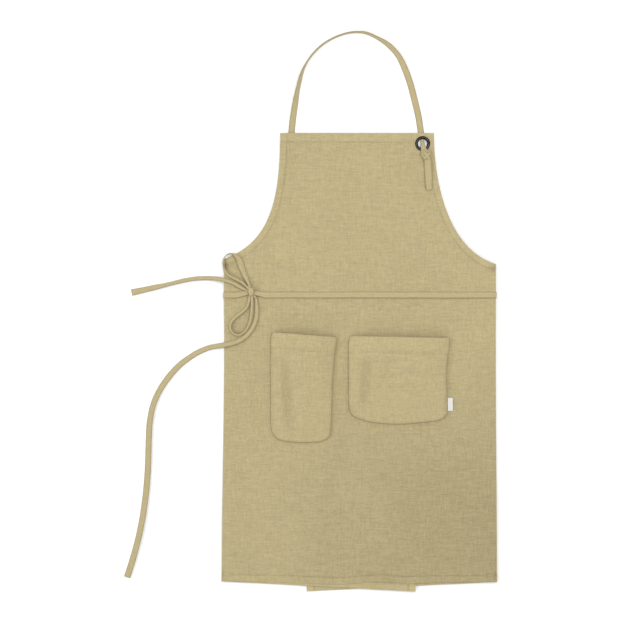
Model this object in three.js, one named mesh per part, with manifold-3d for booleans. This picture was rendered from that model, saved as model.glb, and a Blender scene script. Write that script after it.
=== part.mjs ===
// A bib apron laid flat, front up: its two back wings are folded behind it, its waist ties come
// round the sides and are tied in a bow at the wearer's right, and its neck strap makes a wide arch.
// Millimetres. X runs across the apron, Y from the hem up to the neck, Z out of the table, and the
// table is at Z = 0. Pieces that touch keep a small clearance.
import * as THREE from "three";
import { RoundedBoxGeometry } from "three/addons/geometries/RoundedBoxGeometry.js";
import { mergeVertices } from "three/addons/utils/BufferGeometryUtils.js";
import Module from "manifold-3d";

const wasm = await Module();
wasm.setup();

// ---- driving dimensions -------------------------------------------------------------------------
const CLOTH = 0.6; // one layer of the apron's cloth
const TAPE = 1.2; // strap and ties: cloth folded in and sewn flat
const TAPE_WIDTH = 12;
const GAP = 0.3; // clearance between touching pieces

const BODY_WIDTH = 514; // side fold to side fold
const BODY_LENGTH = 850; // top of the bib to the hem
const TOP_Y = 337.5;
const HEM_Y = TOP_Y - BODY_LENGTH;
const HEM_SAG = 4; // the hem bows down in the middle
const BIB_LEFT = -151;
const BIB_RIGHT = 140;
const WAIST_Y = 31; // middle of the waist ties

const LEFT_WING_REACH = 361; // each wing is folded behind the front by this much
const RIGHT_WING_REACH = 356;
const WING_DROP = 18; // a wing's free edge hangs this much lower than the front's hem
const WING_TOP_MARGIN = 7; // cloth above the middle of the tie at a wing's corner

const FACING_DEPTH = 18; // along the bib's top edge
const ARMHOLE_FACING = 13;
const ARMHOLE_FACING_END = 0.88; // share of the armhole that its facing runs along

const EYELET_X = 118.5;
const EYELET_DROP = 20; // its centre is this far below the top edge
const EYELET_HOLE_R = 8.7;
const EYELET_OUTER_R = 14.2;
const EYELET_WALL = 1.0;
const EYELET_CROWN = 1.6;

const STRAP_RISE = 193; // how far the neck strap's arch reaches above the bib
const STRAP_LEFT_X = -129.5;
const STRAP_RIGHT_X = 115.2;
const STRAP_SEAM = 38; // overlap of the sewn end on the bib
const HINGE_MARGIN = 4; // where the neck loop bends, above the bib's edge
const HINGE_CLEAR = 1.0;
const STRAP_ON_EDGE = 74; // degrees that the tape is rolled at the top of the arch
const THREADED_WIDTH = 8; // the strap bunches up where it passes the eyelet
const STRAP_KNOT = { x: 124.3, drop: 0.8, length: 18, width: 21, height: 9, corner: 4 };
const TAIL = { width: 13.6, length: 54, lean: 3.1 };

const PEN_POCKET = {
  left: -167.5, right: -45.5, taper: 11, mouthLeft: -40, mouthRight: -49, bottom: -244, corner: 17,
};
const PATCH_POCKET = {
  left: -20.5, right: 167.5, taper: 3, mouthLeft: -47, mouthRight: -51, bottom: -210, corner: 20,
};
const POCKET_RISE = 10; // how far a pocket's mouth stands open in the middle
const POCKET_FULL_AT = 0.55; // share of the pocket's height at which it is fully open

const LABEL = { width: 9.2, length: 25.3, thickness: 0.6, top: -163.6, clear: 1.2, hinge: 0.7 };

const BOW_KNOT = { x: -206, y: 37, width: 13.2, length: 14.4, height: 9, corner: 3.5 };
const TIE_WIDTH = 6; // a loose tie end, tilted on the cloth
const TIE_THICKNESS = 2.4;
const LOOP_WIDTH = 4; // the bow's loops stand almost on edge
const LOOP_HEIGHT = 3;

const EYELET_Y = TOP_Y - EYELET_DROP;
const KNOT_TOP = EYELET_Y - EYELET_OUTER_R - STRAP_KNOT.drop;
const KNOT_BOTTOM = KNOT_TOP - STRAP_KNOT.length;

// ---- layers, from the table up ------------------------------------------------------------------
const LONG_TIE_Z = 0;
const RIGHT_WING_Z = LONG_TIE_Z + TAPE + GAP;
const SHORT_TIE_Z = RIGHT_WING_Z + CLOTH + GAP;
const LEFT_WING_Z = SHORT_TIE_Z + TAPE + GAP;
const PANEL_Z = LEFT_WING_Z + CLOTH + GAP;
const PANEL_TOP = PANEL_Z + CLOTH;
const FRONT_Z = PANEL_TOP + GAP; // what lies on the front starts here
const TIE_Z = FRONT_Z + TIE_THICKNESS / 2;
const LOOP_Z = FRONT_Z + TIE_THICKNESS + 0.4 + LOOP_HEIGHT / 2;
const TABLE_TIE_Z = TIE_THICKNESS / 2 + GAP;

// ---- the side folds: each wing turns round a half circle into the front --------------------------
const FOLD_LAP = 1; // straight cloth at each end of the half circle
const leftFold = foldAt(-1, LEFT_WING_Z);
const rightFold = foldAt(1, RIGHT_WING_Z);

function foldAt(side, wingZ) {
  const outerR = (PANEL_TOP - wingZ) / 2;
  return { side, outerR, x: side * (BODY_WIDTH / 2 - outerR), z: wingZ + outerR };
}

// ---- materials ----------------------------------------------------------------------------------
const cloth = new THREE.MeshStandardMaterial({ color: 0xc3b58b, roughness: 0.9, side: THREE.DoubleSide });
const tape = new THREE.MeshStandardMaterial({ color: 0xc0b186, roughness: 0.9 });
const metal = new THREE.MeshStandardMaterial({ color: 0x3b3a3d, roughness: 0.3, metalness: 0.9 });
const woven = new THREE.MeshStandardMaterial({ color: 0xe9e6dd, roughness: 0.8 });

const apron = new THREE.Group();

function add(name, geometry, material) {
  const mesh = new THREE.Mesh(geometry, material);
  mesh.name = name;
  apron.add(mesh);
  return mesh;
}

// ---- joining and cutting ------------------------------------------------------------------------
function solidOf(geometry) {
  const bare = geometry.clone();
  bare.deleteAttribute("normal");
  bare.deleteAttribute("uv");
  const merged = mergeVertices(bare, 1e-4);
  const vertProperties = new Float32Array(merged.attributes.position.array);
  const triVerts = new Uint32Array(merged.index.array);
  return new wasm.Manifold(new wasm.Mesh({ numProp: 3, vertProperties, triVerts }));
}

function geometryOf(solid) {
  const mesh = solid.getMesh();
  const geometry = new THREE.BufferGeometry();
  geometry.setAttribute("position", new THREE.BufferAttribute(new Float32Array(mesh.vertProperties), 3));
  geometry.setIndex(new THREE.BufferAttribute(new Uint32Array(mesh.triVerts), 1));
  return geometry;
}

// ---- shapes that repeat -------------------------------------------------------------------------
// A flat piece of cloth cut to an outline, lying at height z.
function flatPiece(outline, z, thickness = CLOTH) {
  const geometry = new THREE.ExtrudeGeometry(outline, {
    depth: thickness,
    bevelEnabled: false,
    curveSegments: 18,
  });
  return geometry.translate(0, 0, z);
}

// The end view of cloth or tape that runs under the apron, turns round a side and comes back on top.
function turnProfile(fold, innerR, thickness, backX, frontX) {
  const outerR = innerR + thickness;
  const arc = (radius) => {
    const points = [];
    const steps = 10;
    for (let i = 0; i <= steps; i++) {
      const angle = -Math.PI / 2 + (Math.PI * i) / steps;
      const x = fold.x + fold.side * radius * Math.cos(angle);
      points.push(new THREE.Vector2(x, fold.z + radius * Math.sin(angle)));
    }
    return points;
  };
  return new THREE.Shape([
    new THREE.Vector2(backX, fold.z - outerR),
    ...arc(outerR),
    new THREE.Vector2(frontX, fold.z + outerR),
    new THREE.Vector2(frontX, fold.z + innerR),
    ...arc(innerR).reverse(),
    new THREE.Vector2(backX, fold.z - innerR),
  ]);
}

// A profile drawn in X and Z, run along Y from its top edge down.
function alongY(profile, topY, length) {
  const geometry = new THREE.ExtrudeGeometry(profile, { depth: length, bevelEnabled: false });
  return geometry.rotateX(Math.PI / 2).translate(0, topY, 0);
}

// A closed skin between a grid of points and the same grid raised by a thickness.
function gridSolid(columns, rows, pointAt, thickness) {
  const positions = [];
  for (const lift of [0, thickness]) {
    for (let j = 0; j <= rows; j++) {
      for (let i = 0; i <= columns; i++) {
        const point = pointAt(i / columns, j / rows);
        positions.push(point.x, point.y, point.z + lift);
      }
    }
  }
  const layer = (columns + 1) * (rows + 1);
  const at = (i, j, top) => top * layer + j * (columns + 1) + i;
  const index = [];
  const quad = (a, b, c, d) => index.push(a, b, c, a, c, d);
  for (let j = 0; j < rows; j++) {
    for (let i = 0; i < columns; i++) {
      quad(at(i, j, 1), at(i + 1, j, 1), at(i + 1, j + 1, 1), at(i, j + 1, 1));
      quad(at(i, j, 0), at(i, j + 1, 0), at(i + 1, j + 1, 0), at(i + 1, j, 0));
    }
  }
  for (let i = 0; i < columns; i++) {
    quad(at(i, 0, 0), at(i + 1, 0, 0), at(i + 1, 0, 1), at(i, 0, 1));
    quad(at(i + 1, rows, 0), at(i, rows, 0), at(i, rows, 1), at(i + 1, rows, 1));
  }
  for (let j = 0; j < rows; j++) {
    quad(at(columns, j, 0), at(columns, j + 1, 0), at(columns, j + 1, 1), at(columns, j, 1));
    quad(at(0, j + 1, 0), at(0, j, 0), at(0, j, 1), at(0, j + 1, 1));
  }
  const geometry = new THREE.BufferGeometry();
  geometry.setAttribute("position", new THREE.Float32BufferAttribute(positions, 3));
  geometry.setIndex(index);
  return geometry;
}

// A flat tape along a curve. Its roll, in radians, turns it from lying flat to standing on edge.
function rolledTape(curve, stations, width, thickness, rollAt) {
  const up = new THREE.Vector3(0, 0, 1);
  const positions = [];
  for (let i = 0; i <= stations; i++) {
    const t = i / stations;
    const tangent = curve.getTangentAt(t);
    const side = new THREE.Vector3().crossVectors(tangent, up).normalize();
    const normal = new THREE.Vector3().crossVectors(side, tangent).normalize();
    side.applyAxisAngle(tangent, rollAt(t));
    normal.applyAxisAngle(tangent, rollAt(t));
    const centre = curve.getPointAt(t);
    for (const [u, v] of [[1, -1], [1, 1], [-1, 1], [-1, -1]]) {
      const corner = centre.clone().addScaledVector(side, (u * width) / 2);
      corner.addScaledVector(normal, (v * thickness) / 2);
      positions.push(corner.x, corner.y, corner.z);
    }
  }
  const index = [0, 1, 2, 0, 2, 3];
  for (let i = 0; i < stations; i++) {
    for (let k = 0; k < 4; k++) {
      const a = i * 4 + k;
      const b = i * 4 + ((k + 1) % 4);
      index.push(a, a + 4, b + 4, a, b + 4, b);
    }
  }
  const last = stations * 4;
  index.push(last, last + 2, last + 1, last, last + 3, last + 2);
  const geometry = new THREE.BufferGeometry();
  geometry.setAttribute("position", new THREE.Float32BufferAttribute(positions, 3));
  geometry.setIndex(index);
  return geometry;
}

// A loose length of tie: an eight-sided oval run along its route.
function looseTie(route, width, height) {
  const curve = new THREE.CatmullRomCurve3(route.map((p) => new THREE.Vector3(...p)), false, "centripetal");
  const oval = new THREE.Shape();
  const sides = 8;
  for (let i = 0; i < sides; i++) {
    const angle = (2 * Math.PI * (i + 0.5)) / sides;
    const flat = Math.cos(Math.PI / sides);
    const x = ((height / 2) * Math.cos(angle)) / flat;
    const y = ((width / 2) * Math.sin(angle)) / flat;
    if (i === 0) oval.moveTo(x, y);
    else oval.lineTo(x, y);
  }
  const steps = Math.ceil(curve.getLength() / (2 * width));
  return new THREE.ExtrudeGeometry(oval, { steps, extrudePath: curve, bevelEnabled: false });
}

// ---- body cloth ---------------------------------------------------------------------------------
const PANEL_LEFT = leftFold.x + FOLD_LAP + GAP;
const PANEL_RIGHT = rightFold.x - FOLD_LAP - GAP;
const LEFT_ARMHOLE = { bibX: BIB_LEFT, sideX: PANEL_LEFT, endY: 106, drop: 120, reach: 88, rise: 26 };
const RIGHT_ARMHOLE = { bibX: BIB_RIGHT, sideX: PANEL_RIGHT, endY: 90, drop: 105, reach: 82, rise: 26 };

// The armhole falls straight from the bib's corner and sweeps out to the side.
function armholeCurve({ bibX, sideX, endY, drop, reach, rise }) {
  const inward = sideX < bibX ? 1 : -1;
  return new THREE.CubicBezierCurve(
    new THREE.Vector2(bibX, TOP_Y),
    new THREE.Vector2(bibX, TOP_Y - drop),
    new THREE.Vector2(sideX + inward * reach, endY + rise),
    new THREE.Vector2(sideX, endY),
  );
}

const leftArmhole = armholeCurve(LEFT_ARMHOLE);
const rightArmhole = armholeCurve(RIGHT_ARMHOLE);
const BARREL_R = EYELET_HOLE_R + EYELET_WALL;
const CLOTH_HOLE_R = BARREL_R + GAP;

function frontPanel() {
  const armSteps = 24;
  const outline = new THREE.Shape();
  outline.moveTo(PANEL_LEFT, HEM_Y);
  outline.quadraticCurveTo(0, HEM_Y - 2 * HEM_SAG, PANEL_RIGHT, HEM_Y);
  for (const point of rightArmhole.getPoints(armSteps).reverse()) outline.lineTo(point.x, point.y);
  for (const point of leftArmhole.getPoints(armSteps)) outline.lineTo(point.x, point.y);
  const hole = new THREE.Path();
  hole.absarc(EYELET_X, EYELET_Y, CLOTH_HOLE_R, 0, 2 * Math.PI, true);
  outline.holes.push(hole);
  return flatPiece(outline, PANEL_Z);
}
add("front_panel", frontPanel(), cloth);

// A wing: a flat sheet behind the front, with the half circle that turns it into the front.
function wing(fold, wingZ, topAtFold, reach) {
  const inward = -fold.side;
  const freeX = fold.side * (BODY_WIDTH / 2) + inward * reach;
  const outline = new THREE.Shape();
  outline.moveTo(fold.x, HEM_Y);
  outline.lineTo(freeX, HEM_Y - WING_DROP);
  outline.lineTo(freeX, WAIST_Y + WING_TOP_MARGIN);
  outline.lineTo(fold.x, topAtFold);
  const turnX = fold.x + inward * FOLD_LAP;
  const profile = turnProfile(fold, fold.outerR - CLOTH, CLOTH, turnX, turnX);
  const turn = alongY(profile, topAtFold, topAtFold - HEM_Y);
  return geometryOf(solidOf(flatPiece(outline, wingZ)).add(solidOf(turn)));
}
add("left_wing", wing(leftFold, LEFT_WING_Z, LEFT_ARMHOLE.endY, LEFT_WING_REACH), cloth);
add("right_wing", wing(rightFold, RIGHT_WING_Z, RIGHT_ARMHOLE.endY, RIGHT_WING_REACH), cloth);

// ---- facings behind the bib's edges -------------------------------------------------------------
const FACING_Z = PANEL_Z - GAP - CLOTH;

function armholeFacing(armhole, inward) {
  const steps = 20;
  const outer = [];
  const inner = [];
  for (let i = 0; i <= steps; i++) {
    const t = (ARMHOLE_FACING_END * i) / steps;
    const point = armhole.getPoint(t);
    const tangent = armhole.getTangent(t);
    outer.push(point);
    const across = new THREE.Vector2(-tangent.y, tangent.x).multiplyScalar(inward * ARMHOLE_FACING);
    inner.push(point.clone().add(across));
  }
  return flatPiece(new THREE.Shape([...outer, ...inner.reverse()]), FACING_Z);
}

function topFacing() {
  const left = BIB_LEFT + ARMHOLE_FACING + GAP;
  const right = BIB_RIGHT - ARMHOLE_FACING - GAP;
  const outline = new THREE.Shape();
  outline.moveTo(left, TOP_Y - FACING_DEPTH);
  outline.lineTo(right, TOP_Y - FACING_DEPTH);
  outline.lineTo(right, TOP_Y);
  outline.lineTo(left, TOP_Y);
  return flatPiece(outline, FACING_Z);
}

function withEyeletHole(geometry) {
  const cutter = new THREE.CylinderGeometry(CLOTH_HOLE_R, CLOTH_HOLE_R, 4 * CLOTH, 32);
  cutter.rotateX(Math.PI / 2).translate(EYELET_X, EYELET_Y, FACING_Z + CLOTH / 2);
  return geometryOf(solidOf(geometry).subtract(solidOf(cutter)));
}

add("bib_top_facing", withEyeletHole(topFacing()), cloth);
add("left_armhole_facing", armholeFacing(leftArmhole, 1), cloth);
add("right_armhole_facing", withEyeletHole(armholeFacing(rightArmhole, -1)), cloth);

// ---- eyelet -------------------------------------------------------------------------------------
// A pressed ring with a barrel goes through the cloth, and its rim is rolled over a washer behind.
const WASHER_TOP = FACING_Z - GAP;
const WASHER_THICKNESS = 0.9;
const ROLL_TOP = WASHER_TOP - WASHER_THICKNESS - GAP;
const ROLL_THICKNESS = 0.6;

function ring(profile) {
  const points = profile.map(([radius, z]) => new THREE.Vector2(radius, z));
  points.push(points[0].clone());
  const geometry = new THREE.LatheGeometry(points, 36);
  return geometry.rotateX(Math.PI / 2).translate(EYELET_X, EYELET_Y, 0);
}

add("eyelet_front_ring", ring([
  [EYELET_HOLE_R, ROLL_TOP - ROLL_THICKNESS],
  [BARREL_R + 1.4, ROLL_TOP - ROLL_THICKNESS],
  [BARREL_R + 1.4, ROLL_TOP],
  [BARREL_R, ROLL_TOP],
  [BARREL_R, FRONT_Z],
  [EYELET_OUTER_R, FRONT_Z],
  [EYELET_OUTER_R - 0.2, FRONT_Z + 0.6 * EYELET_CROWN],
  [EYELET_OUTER_R - 1.4, FRONT_Z + EYELET_CROWN],
  [EYELET_HOLE_R + 1.6, FRONT_Z + EYELET_CROWN],
  [EYELET_HOLE_R + 0.3, FRONT_Z + 0.6 * EYELET_CROWN],
  [EYELET_HOLE_R, FRONT_Z],
]), metal);
add("eyelet_back_washer", ring([
  [CLOTH_HOLE_R, WASHER_TOP - WASHER_THICKNESS],
  [EYELET_OUTER_R - 0.5, WASHER_TOP - WASHER_THICKNESS],
  [EYELET_OUTER_R, WASHER_TOP],
  [CLOTH_HOLE_R, WASHER_TOP],
]), metal);

// ---- neck strap ---------------------------------------------------------------------------------
const HINGE_Y = TOP_Y + HINGE_MARGIN;
const STRAP_Z = TAPE / 2;

// The arch between the two feet, given as shares of its span and of its rise.
const ARCH = [
  [0, 0], [0.026, 0.255], [0.054, 0.449], [0.092, 0.622], [0.148, 0.76], [0.235, 0.862], [0.34, 0.949],
  [0.442, 0.992], [0.505, 1], [0.58, 0.989], [0.664, 0.939], [0.748, 0.87], [0.826, 0.76],
  [0.874, 0.638], [0.917, 0.485], [0.953, 0.306], [0.983, 0.14], [1, 0],
];

function neckLoop() {
  const span = STRAP_RIGHT_X - STRAP_LEFT_X;
  const feetY = HINGE_Y + HINGE_CLEAR;
  const topRoll = THREE.MathUtils.degToRad(STRAP_ON_EDGE);
  const halfAtTop = (TAPE_WIDTH * Math.cos(topRoll) + TAPE * Math.sin(topRoll)) / 2;
  const rise = STRAP_RISE - HINGE_MARGIN - HINGE_CLEAR - halfAtTop;
  const rollAt = (t) => topRoll * Math.sin(Math.PI * t) ** 2;
  const heightAt = (t) => (TAPE_WIDTH * Math.sin(rollAt(t)) + TAPE * Math.cos(rollAt(t))) / 2;
  const rough = ARCH.map(([along, up]) => {
    return new THREE.Vector3(STRAP_LEFT_X + along * span, feetY + up * rise, 0);
  });
  const flat = new THREE.CatmullRomCurve3(rough, false, "centripetal");
  const stations = 56;
  const lifted = flat.getSpacedPoints(stations).map((point, i) => {
    return point.setZ(heightAt(i / stations));
  });
  const curve = new THREE.CatmullRomCurve3(lifted, false, "centripetal");
  return rolledTape(curve, stations, TAPE_WIDTH, TAPE, rollAt);
}
add("neck_strap_loop", neckLoop(), tape);

function straightTape(x, fromY, toY, z) {
  const geometry = new THREE.BoxGeometry(TAPE_WIDTH, fromY - toY, TAPE);
  return geometry.translate(x, (fromY + toY) / 2, z);
}
const sewnEnd = straightTape(STRAP_LEFT_X, HINGE_Y - HINGE_CLEAR, TOP_Y - STRAP_SEAM, STRAP_Z);
add("neck_strap_sewn_end", sewnEnd, tape);

// The other end goes behind the bib, up through the eyelet and over its lower rim to the knot.
function threadedEnd() {
  const overRim = FRONT_Z + EYELET_CROWN + GAP + TAPE / 2 + 0.2;
  const lastY = KNOT_TOP + GAP + THREADED_WIDTH / 4; // its end slants
  const route = [
    [STRAP_RIGHT_X, HINGE_Y - HINGE_CLEAR, STRAP_Z],
    [STRAP_RIGHT_X + 1.2, EYELET_Y + EYELET_OUTER_R + 0.8, STRAP_Z + 0.05],
    [EYELET_X - 0.8, EYELET_Y + EYELET_HOLE_R - 0.7, STRAP_Z + 0.25],
    [EYELET_X, EYELET_Y + EYELET_HOLE_R / 2, STRAP_Z + 1.6],
    [EYELET_X + 0.4, EYELET_Y, FRONT_Z - 0.1],
    [EYELET_X + 0.9, EYELET_Y - EYELET_HOLE_R / 2, overRim],
    [(EYELET_X + STRAP_KNOT.x) / 2 + 1, lastY, overRim],
  ];
  const curve = new THREE.CatmullRomCurve3(route.map((p) => new THREE.Vector3(...p)), false, "centripetal");
  return rolledTape(curve, 28, THREADED_WIDTH, TAPE, () => 0);
}
add("neck_strap_threaded_end", threadedEnd(), tape);

function knotBlock({ width, length, height, corner }, x, y) {
  const geometry = new RoundedBoxGeometry(width, length, height, 2, corner);
  return geometry.translate(x, y, FRONT_Z + height / 2);
}
add("neck_strap_knot", knotBlock(STRAP_KNOT, STRAP_KNOT.x, (KNOT_TOP + KNOT_BOTTOM) / 2), tape);

// The tail hangs from the knot and is round at both ends, so that it can swing.
function strapTail() {
  const radius = TAIL.width / 2;
  const reach = TAIL.length - 2 * radius;
  const outline = new THREE.Shape();
  outline.absarc(0, 0, radius, 0, Math.PI, false);
  outline.absarc(0, -reach, radius, Math.PI, 2 * Math.PI, false);
  return flatPiece(outline, 0, TAPE);
}
const tail = add("neck_strap_tail", strapTail(), tape);
tail.position.set(STRAP_KNOT.x + 3, KNOT_BOTTOM - GAP - TAIL.width / 2, FRONT_Z);
tail.rotation.z = THREE.MathUtils.degToRad(TAIL.lean);

// ---- pockets ------------------------------------------------------------------------------------
// A patch sewn down along its sides and bottom, standing open at the mouth.
function pocket({ left, right, taper, mouthLeft, mouthRight, bottom, corner }) {
  const middle = (left + right) / 2;
  const pointAt = (across, up) => {
    const u = 2 * across - 1;
    const mouthY = THREE.MathUtils.lerp(mouthLeft, mouthRight, across);
    const cornerShare = corner / (mouthY - bottom);
    // the first third of the rows makes the round corners
    const rounding = Math.min(up * 3, 1);
    const low = cornerShare * (1 - Math.cos((rounding * Math.PI) / 2));
    const share = up * 3 < 1 ? low : cornerShare + ((1 - cornerShare) * (up * 3 - 1)) / 2;
    const inset = corner * (1 - Math.sin((rounding * Math.PI) / 2));
    const half = (right - left) / 2 - inset - (taper / 2) * (1 - share);
    const x = middle - (taper / 2) * (1 - share) + half * u;
    const y = bottom + share * (mouthY - bottom);
    const open = THREE.MathUtils.smoothstep(share, 0, POCKET_FULL_AT);
    return new THREE.Vector3(x, y, FRONT_Z + POCKET_RISE * (1 - u * u) * open);
  };
  return gridSolid(14, 12, pointAt, CLOTH);
}
add("pen_pocket", pocket(PEN_POCKET), cloth);
add("patch_pocket", pocket(PATCH_POCKET), cloth);

// A folded woven tag sewn into the patch pocket's side seam.
function sideLabel() {
  const { width, thickness, length, top } = LABEL;
  const profile = new THREE.Shape();
  profile.moveTo(0, 0);
  profile.lineTo(width - thickness / 2, 0);
  profile.absarc(width - thickness / 2, thickness / 2, thickness / 2, -Math.PI / 2, Math.PI / 2, false);
  profile.lineTo(0, thickness);
  const rootX = PATCH_POCKET.right - PATCH_POCKET.taper + LABEL.clear + LABEL.hinge;
  return alongY(profile, top, length).translate(rootX, 0, FRONT_Z);
}
add("side_label", sideLabel(), woven);

// ---- waist ties ---------------------------------------------------------------------------------
// Each tie is sewn behind a wing's corner, runs back to its own side, turns round it and crosses
// the front to the knot.
function waistTie(fold, wingReach, backZ, frontX) {
  const innerR = fold.z - backZ - TAPE;
  const inward = -fold.side;
  const sewnX = fold.side * (BODY_WIDTH / 2) + inward * (wingReach - 5);
  const profile = turnProfile(fold, innerR, TAPE, sewnX, frontX);
  return alongY(profile, WAIST_Y + TAPE_WIDTH / 2, TAPE_WIDTH);
}
const knotSide = BOW_KNOT.width / 2 + GAP;
add("waist_tie_long", waistTie(rightFold, RIGHT_WING_REACH, LONG_TIE_Z, BOW_KNOT.x + knotSide), tape);
add("waist_tie_short", waistTie(leftFold, LEFT_WING_REACH, SHORT_TIE_Z, BOW_KNOT.x - knotSide), tape);

// ---- bow ----------------------------------------------------------------------------------------
add("bow_knot", knotBlock(BOW_KNOT, BOW_KNOT.x, BOW_KNOT.y), tape);

const UPPER_LOOP = [
  [-209.1, 49.8, LOOP_Z], [-213.6, 59.5, LOOP_Z], [-218.5, 70, LOOP_Z], [-224.5, 85, LOOP_Z],
  [-228.5, 97, LOOP_Z], [-235, 105.5, LOOP_Z], [-245, 109.6, LOOP_Z], [-254.3, 105, LOOP_Z],
  [-259, 95.5, LOOP_Z], [-257.6, 81, LOOP_Z], [-250.5, 69.2, LOOP_Z], [-237, 61.2, LOOP_Z],
  [-224.5, 54.8, LOOP_Z], [-214.9, 46.5, LOOP_Z],
];
const LOWER_LOOP = [
  [-209.3, 28.6, LOOP_Z], [-210.5, 18.5, LOOP_Z], [-215.5, 6.5, LOOP_Z], [-225.8, -2.9, LOOP_Z],
  [-237, -12.3, LOOP_Z], [-244.8, -22, LOOP_Z], [-246, -32, LOOP_Z], [-241, -41.2, LOOP_Z],
  [-230.8, -45.6, LOOP_Z], [-220.5, -41.3, LOOP_Z], [-212.5, -31.6, LOOP_Z], [-206.8, -16, LOOP_Z],
  [-204.2, 1.3, LOOP_Z], [-203.8, 15, LOOP_Z], [-204, 28.6, LOOP_Z],
];
const UPPER_END = [
  [-215.4, 40.8, TIE_Z], [-221.5, 43.8, TIE_Z], [-229.8, 48.6, TIE_Z], [-241, 54.6, TIE_Z],
  [-259.5, 60.2, TIE_Z], [-271, 62, 5], [-284, 63.1, 2.2], [-297.5, 63.2, TABLE_TIE_Z],
  [-316, 61.8, TABLE_TIE_Z], [-338.5, 57.7, TABLE_TIE_Z], [-361, 52.2, TABLE_TIE_Z],
  [-385.5, 46.2, TABLE_TIE_Z], [-410, 40.6, TABLE_TIE_Z], [-432.6, 35.4, TABLE_TIE_Z],
];
const LOWER_END = [
  [-197.3, 24.4, TIE_Z], [-196.2, 15.5, TIE_Z], [-195.6, 3.2, TIE_Z], [-196.8, -12.3, TIE_Z],
  [-201.4, -26.4, TIE_Z], [-210, -39.8, TIE_Z], [-219.6, -49.2, TIE_Z], [-231.3, -56.2, TIE_Z],
  [-245, -60.8, TIE_Z], [-260, -63.7, TIE_Z], [-272, -65.6, 5], [-285.5, -68.4, 2.2],
  [-299.5, -74, TABLE_TIE_Z], [-314.2, -81.6, TABLE_TIE_Z], [-341.3, -101.2, TABLE_TIE_Z],
  [-362.3, -124, TABLE_TIE_Z], [-380.5, -151, TABLE_TIE_Z], [-392, -178, TABLE_TIE_Z],
  [-397.9, -206, TABLE_TIE_Z], [-400.2, -236, TABLE_TIE_Z], [-401, -266, TABLE_TIE_Z],
  [-402, -298, TABLE_TIE_Z], [-404.6, -334, TABLE_TIE_Z], [-409.1, -372, TABLE_TIE_Z],
  [-415.2, -408, TABLE_TIE_Z], [-422.7, -441, TABLE_TIE_Z], [-431.8, -474, TABLE_TIE_Z],
  [-441.4, -504, TABLE_TIE_Z],
];
add("upper_bow_loop", looseTie(UPPER_LOOP, LOOP_WIDTH, LOOP_HEIGHT), tape);
add("lower_bow_loop", looseTie(LOWER_LOOP, LOOP_WIDTH, LOOP_HEIGHT), tape);
add("upper_tie_end", looseTie(UPPER_END, TIE_WIDTH, TIE_THICKNESS), tape);
add("lower_tie_end", looseTie(LOWER_END, TIE_WIDTH, TIE_THICKNESS), tape);

export default apron;
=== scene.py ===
import math

import bpy
from mathutils import Matrix, Vector, geometry, kdtree, noise


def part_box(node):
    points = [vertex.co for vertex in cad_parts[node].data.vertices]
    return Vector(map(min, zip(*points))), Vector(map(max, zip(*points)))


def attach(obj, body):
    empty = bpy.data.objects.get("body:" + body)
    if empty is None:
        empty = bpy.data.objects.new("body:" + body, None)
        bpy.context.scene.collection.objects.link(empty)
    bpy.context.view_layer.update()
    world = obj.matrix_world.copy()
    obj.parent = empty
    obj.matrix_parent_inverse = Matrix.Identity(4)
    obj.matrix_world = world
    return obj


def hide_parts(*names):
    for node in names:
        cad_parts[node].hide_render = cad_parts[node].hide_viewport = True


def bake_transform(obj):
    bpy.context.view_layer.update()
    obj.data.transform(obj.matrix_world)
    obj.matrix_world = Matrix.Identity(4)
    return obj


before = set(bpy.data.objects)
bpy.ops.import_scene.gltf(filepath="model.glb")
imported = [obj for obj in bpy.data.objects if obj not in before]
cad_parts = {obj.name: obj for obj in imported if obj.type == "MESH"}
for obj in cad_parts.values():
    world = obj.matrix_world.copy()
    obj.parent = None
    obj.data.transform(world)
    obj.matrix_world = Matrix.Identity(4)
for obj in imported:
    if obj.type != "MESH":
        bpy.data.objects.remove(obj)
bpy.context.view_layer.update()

# A linen bib apron laid flat, front up. Metres. X runs across it, Y from the hem up to the neck and
# Z out of the table, which is at Z = 0.

# ---- places that come from the frame
def corners(node):
    """The low and high corner of a CAD node's box."""
    return [Vector(corner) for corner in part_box(node)]


PANEL_LOW, PANEL_HIGH = corners("front_panel")
LEFT_WING_LOW, LEFT_WING_HIGH = corners("left_wing")
RIGHT_WING_LOW = corners("right_wing")[0]
LONG_TIE_LOW, LONG_TIE_HIGH = corners("waist_tie_long")
SHORT_TIE_LOW, SHORT_TIE_HIGH = corners("waist_tie_short")
FACING_Z = corners("bib_top_facing")[0].z
EYELET_LOW, EYELET_HIGH = corners("eyelet_front_ring")
SEWN_LOW, SEWN_HIGH = corners("neck_strap_sewn_end")
KNOT_LOW, KNOT_HIGH = corners("neck_strap_knot")
TAIL_LOW, TAIL_HIGH = corners("neck_strap_tail")
BOW_LOW, BOW_HIGH = corners("bow_knot")
LABEL_LOW, LABEL_HIGH = corners("side_label")

LABEL_MIDDLE_Y = (LABEL_LOW.y + LABEL_HIGH.y) / 2
CLOTH = PANEL_HIGH.z - PANEL_LOW.z
GAP = 0.0003  # the CAD part's clearance between touching pieces
TOP_Y = PANEL_HIGH.y
HEM_Y = -0.5125
SIDE_X = 0.257  # the side folds reach this far out
WAIST_Y = (LONG_TIE_LOW.y + LONG_TIE_HIGH.y) / 2
TAPE_WIDTH = LONG_TIE_HIGH.y - LONG_TIE_LOW.y
TAPE = SEWN_HIGH.z - SEWN_LOW.z
PANEL_Z = (PANEL_LOW.z + PANEL_HIGH.z) / 2
FRONT_Z = PANEL_HIGH.z + GAP
LEFT_WING_Z = LEFT_WING_LOW.z + CLOTH / 2
RIGHT_WING_Z = RIGHT_WING_LOW.z + CLOTH / 2
EYELET = (EYELET_LOW + EYELET_HIGH) / 2
EYELET_R = (EYELET_HIGH.x - EYELET_LOW.x) / 2
BOW = (BOW_LOW + BOW_HIGH) / 2
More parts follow.
